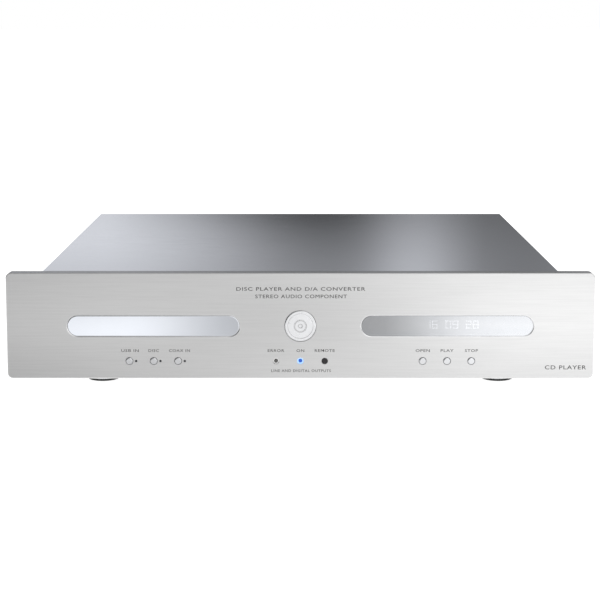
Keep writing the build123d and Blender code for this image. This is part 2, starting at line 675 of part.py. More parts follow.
with BuildPart() as pulley_gear:
    grooved_pulley(PULLEY_X, GEAR_Y, PULLEY_GROOVE_R + 1.4, PULLEY_GROOVE_R)
    upright(PULLEY_X, GEAR_Y, 3.6, (PULLEY_Z[1], 43.6))
    gear_rim(PINION_TEETH, TEETH_MODULE, 0.0, PULLEY_X, GEAR_Y, (43.6, LARGE_GEAR_Z[1]))
    upright(PULLEY_X, GEAR_Y, 1.5 + FIT, (PULLEY_Z[0], LARGE_GEAR_Z[1]), mode=Mode.SUBTRACT)
save(pulley_gear, "pulley_gear")

MOTOR_TOP = DECK[0]
with BuildPart() as motor_pulley:
    grooved_pulley(MOTOR_X, GEAR_Y, MOTOR_GROOVE_R + 1.4, MOTOR_GROOVE_R)
    upright(MOTOR_X, GEAR_Y, 1.0, (MOTOR_TOP - 8, PULLEY_Z[1] + 0.8))
save(motor_pulley, "motor_pulley")

with BuildPart() as loading_motor:
    upright(MOTOR_X, GEAR_Y, 9.6, (MOTOR_TOP - 14, MOTOR_TOP))
    chamfer(loading_motor.edges().group_by(Axis.Z)[0], 1.0)
    upright(MOTOR_X, GEAR_Y, 3.0, (MOTOR_TOP, MOTOR_TOP + 1.5))
    upright(MOTOR_X, GEAR_Y, 1.0 + FIT, (MOTOR_TOP - 8.3, MOTOR_TOP + 2), mode=Mode.SUBTRACT)
    # two solder tags
    for side in mirrored(4.0):
        tag = (MOTOR_X + side - 1, MOTOR_X + side + 1)
        slab(tag, (GEAR_Y - 0.2, GEAR_Y + 0.2), (MOTOR_TOP - 17, MOTOR_TOP - 13.9))
save(loading_motor, "loading_motor")

with BuildPart() as drive_belt:
    for growth, mode in ((BELT_THICK, Mode.ADD), (0.0, Mode.SUBTRACT)):
        with BuildSketch(Plane.XY.offset(BELT_MID_Z - 0.6)) as loop:
            with Locations((PULLEY_X, GEAR_Y)):
                Circle(PULLEY_GROOVE_R + BELT_GAP + growth)
            with Locations((MOTOR_X, GEAR_Y)):
                Circle(MOTOR_GROOVE_R + BELT_GAP + growth)
            make_hull()
        extrude(amount=1.2, mode=mode)
save(drive_belt, "drive_belt")

# ---------------------------------------------------------------- loader frame
EAR_SPOTS = [(LOADER_X + x, y) for x in mirrored(75.0) for y in (-128.0, 2.0)]
with BuildPart() as loader_frame:
    left, right = LOADER_X - LOADER_HALF, LOADER_X + LOADER_HALF
    for low in (left, right - LOADER_WALL):
        slab((low, low + LOADER_WALL), (LOADER_FRONT, LOADER_BACK), (LOADER_FOOT, LOADER_TOP))
    slab((left, right), (LOADER_BACK - 3, LOADER_BACK), (LOADER_FOOT, LOADER_TOP))
    slab((left, right), (LOADER_FRONT, LOADER_FRONT + 2.5), (LOADER_FOOT, 43.0))
    slab((left, right), (LOADER_FRONT, CAM_Y[0] - 0.4), DECK)
    slab((left, right), (CAM_Y[0] - 2.9, CAM_Y[0] - 0.4), (LOADER_FOOT - 2.4, DECK[1]))
    # the lift cam's shelf
    slab((left, right), (CAM_Y[0] - 2.9, CAM_Y[1] + 1.0), (LOADER_FOOT - 2.4, LOADER_FOOT - 0.2))
    # guide ribs that run in the tray's side grooves
    for low in (left + LOADER_WALL, right - LOADER_WALL - 1.7):
        for y in (-158.0, -95.0, -34.0):
            slab((low, low + 1.7), (y, y + 22), (53.3, 55.1))
    # fixing ears
    for x, y in EAR_SPOTS:
        inner = left if x < LOADER_X else right
        slab(tuple(sorted((inner, x))), (y - 6, y + 6), (LOADER_FOOT, LOADER_FOOT + 3))
        upright(x, y, 6.0, (LOADER_FOOT, LOADER_FOOT + 3))
        upright(x, y, 2.1, (LOADER_FOOT, LOADER_FOOT + 3), mode=Mode.SUBTRACT)
    # posts for the gears, the motor's hole and the traverse pivots
    upright(GEAR_X, GEAR_Y, 2.0, (DECK[1], 51.0))
    upright(PULLEY_X, GEAR_Y, 1.5, (DECK[1], 47.4))
    upright(MOTOR_X, GEAR_Y, 3.1, DECK, mode=Mode.SUBTRACT)
    for side in (-1, 1):
        wall = LOADER_X + side * (LOADER_HALF - LOADER_WALL)
        pin_end = LOADER_X + side * (TRAVERSE_HALF + 2.5)
        along_x(PIVOT_Y, PIVOT_Z, 2.5, tuple(sorted((wall, pin_end))))
        along_x(PIVOT_Y, PIVOT_Z, 1.5, tuple(sorted((pin_end, LOADER_X + side * (TRAVERSE_HALF - 4)))))
save(loader_frame, "loader_frame")

with BuildPart() as loader_posts:
    for x, y in EAR_SPOTS:
        upright(x, y, 5.0, (FLOOR, LOADER_FOOT))
        upright(x, y, 2.0, (LOADER_FOOT, LOADER_FOOT + 3))
        upright(x, y, 4.0, (LOADER_FOOT + 3, LOADER_FOOT + 5.4))
save(loader_posts, "loader_posts")

# ---------------------------------------------------------------- clamp bridge and puck
PUCK_BOTTOM = 56.0
BRIDGE_Z = (LOADER_TOP, LOADER_TOP + 1.2)
with BuildPart() as clamp_bridge:
    slab((left, right), (SPINDLE_Y - 24, SPINDLE_Y + 24), BRIDGE_Z)
    for y in mirrored(23.25):
        slab((left + 8, right - 8), (SPINDLE_Y + y - 0.75, SPINDLE_Y + y + 0.75), (BRIDGE_Z[1], BRIDGE_Z[1] + 4))
    upright(LOADER_X, SPINDLE_Y, 11.5, BRIDGE_Z, mode=Mode.SUBTRACT)
save(clamp_bridge, "clamp_bridge")

with BuildPart() as clamp_puck:
    upright(LOADER_X, SPINDLE_Y, 15.0, (PUCK_BOTTOM, PUCK_BOTTOM + 2.6))
    upright(LOADER_X, SPINDLE_Y, 10.0, (PUCK_BOTTOM + 2.6, PUCK_BOTTOM + 6.6))
    upright(LOADER_X, SPINDLE_Y, 14.0, (PUCK_BOTTOM + 6.6, PUCK_BOTTOM + 8.6))
    upright(LOADER_X, SPINDLE_Y, 8.6, (PUCK_BOTTOM, PUCK_BOTTOM + 2.0), mode=Mode.SUBTRACT)
    with Locations((LOADER_X, SPINDLE_Y, PUCK_BOTTOM + 8.6)):
        with PolarLocations(9.5, 6):
            Cylinder(1.6, 2.0, mode=Mode.SUBTRACT)
save(clamp_puck, "clamp_puck")

# ---------------------------------------------------------------- traverse: pivots at the back, lifted at the front
WELL = (LOADER_X - 30.0, LOADER_X + 30.0)
WELL_Y = (-93.0, -21.0)
MOTOR_TAB = (SLED_PINION_X - 8.5, SLED_PINION_X + 9.0)
with BuildPart() as traverse_frame:
    slab((LOADER_X - TRAVERSE_HALF, LOADER_X + TRAVERSE_HALF), (TRAVERSE_FRONT, PIVOT_Y + 5), TRAVERSE_PLATE)
    slab((LOADER_X, MOTOR_TAB[1]), (SLED_PINION_Y - 9, SLED_PINION_Y + 9), TRAVERSE_PLATE)
    slab(WELL, WELL_Y, TRAVERSE_PLATE, mode=Mode.SUBTRACT)
    # pivot blocks, and the two lugs whose pins run in the lift cam
    for side in (-1, 1):
        outer = LOADER_X + side * TRAVERSE_HALF
        slab(tuple(sorted((outer, outer - side * 8))), (PIVOT_Y - 5, PIVOT_Y + 5), (36.5, 46.0))
        along_x(PIVOT_Y, PIVOT_Z, 1.5 + FIT, tuple(sorted((outer + side, outer - side * 9))), mode=Mode.SUBTRACT)
        x = LOADER_X + side * PIN_OFFSET
        slab((x - 3, x + 3), (TRAVERSE_FRONT, TRAVERSE_FRONT + 4), (PIN_Z - 2, TRAVERSE_PLATE[1]))
        along_y(x, PIN_Z, 1.5, (CAM_Y[0], TRAVERSE_FRONT))
    # stops at the guide rods' ends
    for x in (LOADER_X - ROD_OFFSET, LOADER_X + ROD_OFFSET):
        for y in (WELL_Y[0] - 4, WELL_Y[1]):
            slab((x - 4, x + 4), (y, y + 4), (TRAVERSE_PLATE[0], ROD_Z + 4))
        along_y(x, ROD_Z, ROD_R, (WELL_Y[0] - 4, WELL_Y[1] + 4), mode=Mode.SUBTRACT)
    upright(LOADER_X, SPINDLE_Y, 4.0, TRAVERSE_PLATE, mode=Mode.SUBTRACT)
    upright(SLED_PINION_X, SLED_PINION_Y, 2.2, TRAVERSE_PLATE, mode=Mode.SUBTRACT)
    upright(SLED_GEAR_X, SLED_GEAR_Y, 1.0, (TRAVERSE_PLATE[1], 47.3))
save(traverse_frame, "traverse_frame")

with BuildPart() as guide_rods:
    for x in (LOADER_X - ROD_OFFSET, LOADER_X + ROD_OFFSET):
        along_y(x, ROD_Z, ROD_R, (WELL_Y[0] - 4, WELL_Y[1] + 4))
save(guide_rods, "guide_rods")

with BuildPart() as spindle_motor:
    upright(LOADER_X, SPINDLE_Y, 11.5, (TRAVERSE_PLATE[0] - 7, TRAVERSE_PLATE[0]))
    chamfer(spindle_motor.edges().group_by(Axis.Z)[0], 1.0)
    upright(LOADER_X, SPINDLE_Y, 3.0, (TRAVERSE_PLATE[0], TRAVERSE_PLATE[1]))
    upright(LOADER_X, SPINDLE_Y, 1.0 + FIT, (TRAVERSE_PLATE[0] - 5, TRAVERSE_PLATE[1]), mode=Mode.SUBTRACT)
save(spindle_motor, "spindle_motor")

with BuildPart() as turntable:
    upright(LOADER_X, SPINDLE_Y, 1.0, (TRAVERSE_PLATE[0] - 4.8, 44.0))
    upright(LOADER_X, SPINDLE_Y, 7.0, (43.5, 52.3))
    upright(LOADER_X, SPINDLE_Y, 14.5, (52.3, 54.5))
    with Locations((LOADER_X, SPINDLE_Y, (54.5 + 57.0) / 2)):
        Cone(7.45, 6.2, 2.5)
save(turntable, "turntable")

SLOT_LENGTH = math.hypot(CAM_TRAVEL, LIFT_DROP)
SLOT_ANGLE = math.degrees(math.atan2(LIFT_DROP, CAM_TRAVEL))
with BuildPart() as lift_cam:
    slab((LOADER_X - 46, LOADER_X + 34), CAM_Y, (LOADER_FOOT, 43.4))
    with BuildSketch(facing_front(CAM_Y[1])):
        for side in (-1, 1):
            with Locations((LOADER_X + side * PIN_OFFSET - CAM_TRAVEL / 2, PIN_Z - LIFT_DROP / 2)):
                SlotCenterToCenter(SLOT_LENGTH, 3.7, rotation=SLOT_ANGLE)
    extrude(amount=CAM_Y[1] - CAM_Y[0], mode=Mode.SUBTRACT)
save(lift_cam, "lift_cam")

# ---------------------------------------------------------------- pickup sled, lens and sled drive
LENS_Y = SPINDLE_Y + LENS_R_START
SLED_Y = (LENS_Y - 7.5, LENS_Y + 24.5)
SLED_RACK_Z = (43.4, 45.0)
SLED_LARGE_Z = (45.4, 47.0)
LENS_WELL = 5.2
with BuildPart() as pickup_sled:
    slab((LOADER_X - 29, LOADER_X + 29), (SLED_Y[0] + 1, SLED_Y[1]), (38.5, 45.0))
    slab((LOADER_X - 11, LOADER_X + 11), SLED_Y, (45.0, 51.0))
    slab((LOADER_X - 12, LOADER_X + 12), SLED_Y, (33.0, 38.5))
    for x in (LOADER_X - ROD_OFFSET, LOADER_X + ROD_OFFSET):
        along_y(x, ROD_Z, ROD_R + FIT, SLED_Y, mode=Mode.SUBTRACT)
    slab(
        (LOADER_X - LENS_WELL, LOADER_X + LENS_WELL),
        (LENS_Y - LENS_WELL, LENS_Y + LENS_WELL),
        (46.0, 51.0),
        mode=Mode.SUBTRACT,
    )
    # rack on the right, outside the rods' stops and long enough for the whole travel
    sled_pitch = math.pi * SLED_MODULE
    rack_low, rack_high = SLED_GEAR_Y - SLED_TRAVEL - 4, SLED_GEAR_Y + 4
    slab((LOADER_X + 28.5, SLED_RACK_X - 0.69), (rack_low, rack_high), SLED_RACK_Z)
    for k in range(math.floor((SLED_TRAVEL + 3) / -sled_pitch), 2):
        with BuildSketch(Plane.XY.offset(SLED_RACK_Z[0])) as sled_tooth:
            with Locations(Location((SLED_RACK_X, SLED_GEAR_Y + (k + 0.5) * sled_pitch, 0), (0, 0, 180))):
                add(rack_tooth(sled_pitch, SLED_MODULE, 0.45, 0.8))
        extrude(to_extrude=sled_tooth.sketch, amount=SLED_RACK_Z[1] - SLED_RACK_Z[0])
save(pickup_sled, "pickup_sled")

with BuildPart() as pickup_lens:
    slab((LOADER_X - 4.4, LOADER_X + 4.4), (LENS_Y - 4.4, LENS_Y + 4.4), (48.0, 51.4))
    upright(LOADER_X, LENS_Y, 3.2, (51.4, 52.0))
    with Locations((LOADER_X, LENS_Y, 51.2)):
        Sphere(2.0)
save(pickup_lens, "pickup_lens")

with BuildPart() as sled_gear:
    gear_rim(SLED_SMALL_TEETH, SLED_MODULE, 180.0, SLED_GEAR_X, SLED_GEAR_Y, (SLED_RACK_Z[0], SLED_LARGE_Z[0]))
    gear_rim(SLED_LARGE_TEETH, SLED_MODULE, PINION_ANGLE, SLED_GEAR_X, SLED_GEAR_Y, SLED_LARGE_Z)
    upright(SLED_GEAR_X, SLED_GEAR_Y, 1.0 + FIT, (SLED_RACK_Z[0], SLED_LARGE_Z[1]), mode=Mode.SUBTRACT)
save(sled_gear, "sled_gear")

with BuildPart() as sled_pinion:
    gear_rim(
        SLED_PINION_TEETH,
        SLED_MODULE,
        PINION_ANGLE + 180 + 180 / SLED_PINION_TEETH,
        SLED_PINION_X,
        SLED_PINION_Y,
        (SLED_LARGE_Z[0] - 0.6, SLED_LARGE_Z[1]),
    )
    upright(SLED_PINION_X, SLED_PINION_Y, 0.8, (TRAVERSE_PLATE[0] - 4, SLED_LARGE_Z[0]))
save(sled_pinion, "sled_pinion")

with BuildPart() as sled_motor:
    upright(SLED_PINION_X, SLED_PINION_Y, 7.5, (TRAVERSE_PLATE[0] - 14, TRAVERSE_PLATE[0]))
    chamfer(sled_motor.edges().group_by(Axis.Z)[0], 0.8)
    upright(SLED_PINION_X, SLED_PINION_Y, 2.0, TRAVERSE_PLATE)
    upright(
        SLED_PINION_X,
        SLED_PINION_Y,
        0.8 + FIT,
        (TRAVERSE_PLATE[0] - 4.3, TRAVERSE_PLATE[1]),
        mode=Mode.SUBTRACT,
    )
save(sled_motor, "sled_motor")

# ---------------------------------------------------------------- mains transformer
TOROID_Z = (FLOOR + 1.5, FLOOR + 1.5 + TOROID_HEIGHT)
with BuildPart() as toroidal_transformer:
    upright(TOROID_X, TOROID_Y, TOROID_R, TOROID_Z)
    upright(TOROID_X, TOROID_Y, 16.0, TOROID_Z, mode=Mode.SUBTRACT)
    fillet(toroidal_transformer.edges().filter_by(GeomType.CIRCLE), 8.0)
save(toroidal_transformer, "toroidal_transformer")

with BuildPart() as transformer_clamp:
    # rubber washer below, dished steel washer above, and the bolt through both with its nut
    upright(TOROID_X, TOROID_Y, 40.0, (FLOOR, TOROID_Z[0]))
    upright(TOROID_X, TOROID_Y, 36.0, (TOROID_Z[1], TOROID_Z[1] + 2.0))
    for zs in ((FLOOR, TOROID_Z[0]), (TOROID_Z[1], TOROID_Z[1] + 2.0)):
        upright(TOROID_X, TOROID_Y, 3.0 + FIT, zs, mode=Mode.SUBTRACT)
    upright(TOROID_X, TOROID_Y, 3.0, (CASE_BOTTOM - 3.5, TOROID_Z[1] + 10))
    with BuildSketch(Plane.XY.offset(CASE_BOTTOM - 3.5)):
        with Locations((TOROID_X, TOROID_Y)):
            RegularPolygon(5.5, 6)
    extrude(amount=3.5)
    with BuildSketch(Plane.XY.offset(TOROID_Z[1] + 2.0)):
        with Locations((TOROID_X, TOROID_Y)):
            RegularPolygon(5.5, 6)
    extrude(amount=5.0)
save(transformer_clamp, "transformer_clamp")

# ---------------------------------------------------------------- circuit boards and what stands on them
POWER_BOARD = ((92.0, 196.0), (-150.0, -24.0))
AUDIO_BOARD = ((-8.0, 198.0), (58.0, 158.0))
DIGITAL_BOARD = ((-198.0, -14.0), (28.0, 128.0))
BOARD_INSET = 5.0


def board(outline):
    """A circuit board with a hole in each corner."""
    with BuildPart() as made:
        slab(outline[0], outline[1], (BOARD_LOW, BOARD_HIGH))
        for x, y in corners(outline):
            upright(x, y, 1.6, (BOARD_LOW, BOARD_HIGH), mode=Mode.SUBTRACT)
    return made


def corners(outline):
    """The places of a board's four standoffs."""
    (x_low, x_high), (y_low, y_high) = outline
    xs = (x_low + BOARD_INSET, x_high - BOARD_INSET)
    ys = (y_low + BOARD_INSET, y_high - BOARD_INSET)
    return [(x, y) for x in xs for y in ys]


for name, outline in (
    ("power_board", POWER_BOARD),
    ("audio_board", AUDIO_BOARD),
    ("digital_board", DIGITAL_BOARD),
):
    save(board(outline), name)

with BuildPart() as board_standoffs:
    for outline in (POWER_BOARD, AUDIO_BOARD, DIGITAL_BOARD):
        for x, y in corners(outline):
            upright(x, y, 3.0, (FLOOR, BOARD_LOW))
            upright(x, y, 1.5, (BOARD_LOW, BOARD_HIGH))
            upright(x, y, 2.8, (BOARD_HIGH, BOARD_HIGH + 2.0))
    for x, z in FRONT_POSTS:
        along_y(x, z, 2.5, (PLATE_BACK + 2.0, BOARD_FRONT))
        along_y(x, z, 1.5, (BOARD_FRONT, BOARD_FRONT + BOARD_THICK))
        along_y(x, z, 2.6, (BOARD_FRONT + BOARD_THICK, BOARD_FRONT + BOARD_THICK + 1.6))
save(board_standoffs, "board_standoffs")

LARGE_CANS = [(112.0 + 27 * column, -132.0 + 27 * row) for column in range(2) for row in range(2)]
SMALL_CANS = [(30.0 + 24 * column, 76.0 + 20 * row) for column in range(6) for row in range(2)]
with BuildPart() as board_capacitors:
    for x, y in LARGE_CANS:
        upright(x, y, 12.5, (BOARD_HIGH, BOARD_HIGH + 38))
    for x, y in SMALL_CANS:
        upright(x, y, 5.0, (BOARD_HIGH, BOARD_HIGH + 14))
    tops = board_capacitors.faces().filter_by(Axis.Z).filter_by(lambda face: face.center().Z > BOARD_HIGH + 1)
    chamfer(tops.edges(), 0.8)
save(board_capacitors, "board_capacitors")

# each chip's place and side
DIGITAL_CHIPS = ((-150.0, 60.0, 20.0), (-110.0, 76.0, 26.0), (-64.0, 58.0, 14.0), (-64.0, 96.0, 14.0))
AUDIO_CHIPS = ((20.0, 132.0, 14.0), (62.0, 126.0, 18.0), (104.0, 132.0, 14.0), (146.0, 132.0, 10.0))
with BuildPart() as board_chips:
    for x, y, side in DIGITAL_CHIPS + AUDIO_CHIPS:
        half = side / 2
        slab((x - half, x + half), (y - half, y + half), (BOARD_HIGH + 0.2, BOARD_HIGH + 2.4))
        # the rows of legs along two sides
        slab((x - half - 1, x + half + 1), (y - half + 1, y + half - 1), (BOARD_HIGH, BOARD_HIGH + 0.5))
save(board_chips, "board_chips")

SINK_X = (104.0, 184.0)
SINK_Y = (-72.0, -46.0)
with BuildPart() as heat_sink:
    slab(SINK_X, (SINK_Y[0], SINK_Y[0] + 4), (BOARD_HIGH, BOARD_HIGH + 34))
    for k in range(12):
        x = SINK_X[0] + 1.0 + k * 7.0
        slab((x, x + 1.6), (SINK_Y[0] + 4, SINK_Y[1]), (BOARD_HIGH, BOARD_HIGH + 34))
save(heat_sink, "heat_sink")

# ---------------------------------------------------------------- flat cable from the front boards to the digital board
RIBBON_X = (-31.0, -23.0)
with BuildPart() as ribbon_cable:
    with BuildSketch(Plane.YZ.offset(RIBBON_X[0])) as ribbon_path:
        with BuildLine():
            FilletPolyline(
                (BOARD_FRONT + 5.0, 29.0),
                (BOARD_FRONT + 9.0, 29.0),
                (BOARD_FRONT + 9.0, FLOOR + 1.0),
                (20.0, FLOOR + 1.0),
                (20.0, BOARD_HIGH + 4.0),
                (34.0, BOARD_HIGH + 4.0),
                radius=1.8,
            )
        trace(line_width=0.7)
    extrude(amount=RIBBON_X[1] - RIBBON_X[0])
    # the plugs at both ends
    slab(RIBBON_X, (BOARD_FRONT + BOARD_THICK, BOARD_FRONT + 5.0), (26.0, 32.0))
    slab(RIBBON_X, (34.0, 40.0), (BOARD_HIGH, BOARD_HIGH + 6.0))
save(ribbon_cable, "ribbon_cable")

# ---------------------------------------------------------------- sockets on the rear panel
with BuildPart() as xlr_sockets:
    for x, z in XLR_SPOTS:
        with BuildSketch(facing_front(CASE_BACK + SOCKET_FLANGE)):
            with Locations((x, z)):
                RectangleRounded(26.0, 31.0, 3.0)
        extrude(amount=SOCKET_FLANGE)
        along_y(x, z, 11.9, (CASE_BACK - 18, CASE_BACK))
        along_y(x, z, 9.2, (CASE_BACK - 15, CASE_BACK + SOCKET_FLANGE), mode=Mode.SUBTRACT)
        for angle in (90.0, 210.0, 330.0):
            pin_x = x + 4.2 * math.cos(math.radians(angle))
            pin_z = z + 4.2 * math.sin(math.radians(angle))
            along_y(pin_x, pin_z, 1.2, (CASE_BACK - 15.5, CASE_BACK - 4.5))
    for x, z in SOCKET_SCREWS:
        along_y(x, z, SCREW_HOLE_R, (CASE_BACK, CASE_BACK + SOCKET_FLANGE), mode=Mode.SUBTRACT)
save(xlr_sockets, "xlr_sockets")

with BuildPart() as rca_sockets:
    for x, z in RCA_SPOTS:
        along_y(x, z, 5.0, (REAR_INSIDE - 6, CASE_BACK))
        with BuildSketch(facing_front(CASE_BACK + 2.5)):
            with Locations((x, z)):
                RegularPolygon(7.0, 6)
        extrude(amount=2.5)
        along_y(x, z, 4.15, (CASE_BACK + 2.5, OUTLET_END))
        along_y(x, z, 1.65, (OUTLET_END - 10, OUTLET_END), mode=Mode.SUBTRACT)
save(rca_sockets, "rca_sockets")

with BuildPart() as usb_socket:
    x, z = USB_SPOT
    slab((x - 6, x + 6), (REAR_INSIDE - 14, CASE_BACK + 0.8), (z - 5.5, z + 5.5))
    slab((x - 4.3, x + 4.3), (REAR_INSIDE - 8, CASE_BACK + 0.8), (z - 4, z + 4), mode=Mode.SUBTRACT)
    slab((x - 2.8, x + 2.8), (REAR_INSIDE - 8, CASE_BACK - 1), (z - 1.6, z + 1.6))
save(usb_socket, "usb_socket")

# ---------------------------------------------------------------- mains inlet with its switch
INLET_X, INLET_Z = INLET_SPOT
SOCKET_Z = INLET_Z - 11.5
ROCKER_HALF = 9.5
ROCKER_ROOM = (INLET_X - ROCKER_HALF - 0.4, INLET_X + ROCKER_HALF + 0.4)
with BuildPart() as mains_inlet:
    with BuildSketch(facing_front(CASE_BACK + INLET_FLANGE)):
        with Locations(INLET_SPOT):
            RectangleRounded(50.0, 62.0, 3.0)
    extrude(amount=INLET_FLANGE)
    chamfer(mains_inlet.faces().sort_by(Axis.Y)[-1].edges(), 0.8)
    slab((INLET_X - 14.3, INLET_X + 14.3), (CASE_BACK - 26, CASE_BACK), (INLET_Z - 27, INLET_Z + 27))
    # the inlet's well, with its two upper corners cut off
    with BuildSketch(facing_front(CASE_BACK + INLET_FLANGE)) as well:
        with Locations((INLET_X, SOCKET_Z)):
            Rectangle(24.4, 16.6)
        chamfer(well.vertices().group_by(Axis.Y)[-1], 4.0)
    extrude(to_extrude=well.sketch, amount=20.0, mode=Mode.SUBTRACT)
    for dx, dz in ((-7.0, -1.5), (0.0, 2.5), (7.0, -1.5)):
        slab(
            (INLET_X + dx - 1, INLET_X + dx + 1),
            (CASE_BACK - 18, CASE_BACK - 3),
            (SOCKET_Z + dz - 2, SOCKET_Z + dz + 2),
        )
    # the rocker's room and pivot holes
    rocker_depth = (ROCKER_Y - 9, CASE_BACK + INLET_FLANGE)
    slab(ROCKER_ROOM, rocker_depth, (ROCKER_Z - 7.6, ROCKER_Z + 7.6), mode=Mode.SUBTRACT)
    along_x(ROCKER_Y, ROCKER_Z, 1.5 + FIT, (INLET_X - 12.2, INLET_X + 12.2), mode=Mode.SUBTRACT)
    for x, z in INLET_SCREWS:
        along_y(x, z, SCREW_HOLE_R, (CASE_BACK, CASE_BACK + INLET_FLANGE), mode=Mode.SUBTRACT)
save(mains_inlet, "mains_inlet")

# the rocker leans to its on side at rest; its two faces meet in a shallow V over the pivot
LEAN = math.radians(ROCKER_TILT)
ROCKER_PLANE = Plane(
    origin=(INLET_X - ROCKER_HALF, ROCKER_Y, ROCKER_Z),
    x_dir=(0, math.cos(LEAN), math.sin(LEAN)),
    z_dir=(1, 0, 0),
)
with BuildPart() as power_rocker:
    with BuildSketch(ROCKER_PLANE):
        with BuildLine():
            Polyline(
                (-3.5, -4.0),
                (0.0, -6.3),
                (5.6, -6.3),
                (4.5, 0.0),
                (5.6, 6.3),
                (0.0, 6.3),
                (-3.5, 4.0),
                close=True,
            )
        make_face()
    extrude(amount=2 * ROCKER_HALF)
    along_x(ROCKER_Y, ROCKER_Z, 1.5, (INLET_X - 12.0, INLET_X + 12.0))
save(power_rocker, "power_rocker")
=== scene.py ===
import json
import math

import bmesh
import bpy
from mathutils import Matrix, Vector


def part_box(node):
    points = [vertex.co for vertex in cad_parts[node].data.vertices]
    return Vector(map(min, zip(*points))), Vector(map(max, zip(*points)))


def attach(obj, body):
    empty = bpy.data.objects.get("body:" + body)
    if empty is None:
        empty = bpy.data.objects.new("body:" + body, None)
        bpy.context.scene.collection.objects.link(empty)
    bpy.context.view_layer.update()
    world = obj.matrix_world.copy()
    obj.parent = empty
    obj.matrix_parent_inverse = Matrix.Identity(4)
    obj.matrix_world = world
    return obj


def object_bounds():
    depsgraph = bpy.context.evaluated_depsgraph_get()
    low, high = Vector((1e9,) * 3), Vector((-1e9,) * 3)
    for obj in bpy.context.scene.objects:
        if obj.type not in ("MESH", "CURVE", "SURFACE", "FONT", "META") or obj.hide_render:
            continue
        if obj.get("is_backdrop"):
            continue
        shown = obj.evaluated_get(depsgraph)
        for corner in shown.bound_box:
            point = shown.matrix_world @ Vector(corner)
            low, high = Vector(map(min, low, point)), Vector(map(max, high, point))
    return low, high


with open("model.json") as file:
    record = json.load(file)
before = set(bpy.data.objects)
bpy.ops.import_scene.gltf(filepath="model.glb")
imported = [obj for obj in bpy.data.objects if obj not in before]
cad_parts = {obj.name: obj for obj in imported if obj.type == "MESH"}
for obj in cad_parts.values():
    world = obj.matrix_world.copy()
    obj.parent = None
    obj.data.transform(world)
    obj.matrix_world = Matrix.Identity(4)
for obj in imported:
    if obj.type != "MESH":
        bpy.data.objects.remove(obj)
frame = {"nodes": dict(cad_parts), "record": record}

CAD_LOW, CAD_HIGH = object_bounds()
MM = 0.001
MICRON = 0.000001
scene = bpy.context.scene
nodes = frame["nodes"]

# every material made here, under the name it was made with
MATERIALS = {}

# the numbers of a Mix node's sockets when it mixes colours
MIX_FACTOR = 0
MIX_A = 6
MIX_B = 7
MIX_RESULT = 2

# most of a noise's values lie between these two
NOISE_LOW = 0.35
NOISE_HIGH = 0.65


# -------------------------------------------------------- shader helpers
def grey(value):
    """A linear grey as a colour."""
    return (value, value, value)


def shade(colour, share, lift=0.0):
    """A colour made darker or lighter."""
    return tuple(c * share + lift for c in colour)


class Shader:
    """One node material: a Principled BSDF and the textures that feed it."""

    def __init__(self, name, colour, roughness, metallic=0.0, **sockets):
        self.material = bpy.data.materials.new(name)
        self.material.use_nodes = True
        self.tree = self.material.node_tree
        self.bsdf = self.tree.nodes["Principled BSDF"]
        self.colour = colour
        self.set("Base Color", (*colour, 1.0))
        self.set("Roughness", roughness)
        self.set("Metallic", metallic)
        for socket, value in sockets.items():
            self.set(socket.replace("_", " "), value)
        MATERIALS[name] = self.material

    def set(self, socket, value):
        self.bsdf.inputs[socket].default_value = value

    def node(self, kind, **settings):
        """A node with the given socket values and properties."""
        made = self.tree.nodes.new(kind)
        for key, value in settings.items():
            if key in made.inputs:
                made.inputs[key].default_value = value
            else:
                setattr(made, key, value)
        return made

    def link(self, start, end):
        self.tree.links.new(start, end)

    def texture(self, kind, stretch, **settings):
        """A texture on the object's own coordinates. stretch: cells per metre, one number or one per axis."""
        place = self.node("ShaderNodeTexCoord")
        scales = stretch if isinstance(stretch, tuple) else (stretch, stretch, stretch)
        mapping = self.node("ShaderNodeMapping", Scale=scales)
        made = self.node(kind, Scale=1.0, **settings)
        self.link(place.outputs["Object"], mapping.inputs["Vector"])
        self.link(mapping.outputs["Vector"], made.inputs["Vector"])
        return made

    def noise(self, stretch, detail=3.0, rough=0.55):
        return self.texture("ShaderNodeTexNoise", stretch, Detail=detail, Roughness=rough).outputs["Fac"]

    def cells(self, stretch):
        return self.texture("ShaderNodeTexVoronoi", stretch).outputs["Distance"]

    def spread(self, factor, low, high, start=NOISE_LOW, end=NOISE_HIGH):
        """The factor mapped from start..end to low..high."""
        mapped = self.node("ShaderNodeMapRange")
        for socket, value in (("From Min", start), ("From Max", end), ("To Min", low), ("To Max", high)):
            mapped.inputs[socket].default_value = value
        self.link(factor, mapped.inputs["Value"])
        return mapped.outputs["Result"]

    def tint(self, factor, other, start=NOISE_LOW, end=NOISE_HIGH):
        """Mixes the base colour towards another colour where the factor is high."""
        mix = self.node("ShaderNodeMix", data_type="RGBA")
        mix.inputs[MIX_A].default_value = (*self.colour, 1.0)
        mix.inputs[MIX_B].default_value = (*other, 1.0)
        self.link(self.spread(factor, 0.0, 1.0, start, end), mix.inputs[MIX_FACTOR])
        base = self.bsdf.inputs["Base Color"]
        if base.is_linked:
            self.link(base.links[0].from_socket, mix.inputs[MIX_A])
        self.link(mix.outputs[MIX_RESULT], base)

    def vary_roughness(self, factor, low, high):
        self.link(self.spread(factor, low, high), self.bsdf.inputs["Roughness"])

    def bump(self, factor, depth):
        """Relief of the given depth in microns."""
        bump = self.node("ShaderNodeBump", Strength=1.0, Distance=depth * MICRON)
        self.link(factor, bump.inputs["Height"])
        self.link(bump.outputs["Normal"], self.bsdf.inputs["Normal"])

    def tangent(self, axis, anisotropy):
        """Brushing whose direction circles the given axis, which on a flat face is straight."""
        tangent = self.node("ShaderNodeTangent", direction_type="RADIAL", axis=axis)
        self.link(tangent.outputs["Tangent"], self.bsdf.inputs["Tangent"])
        self.set("Anisotropic", anisotropy)


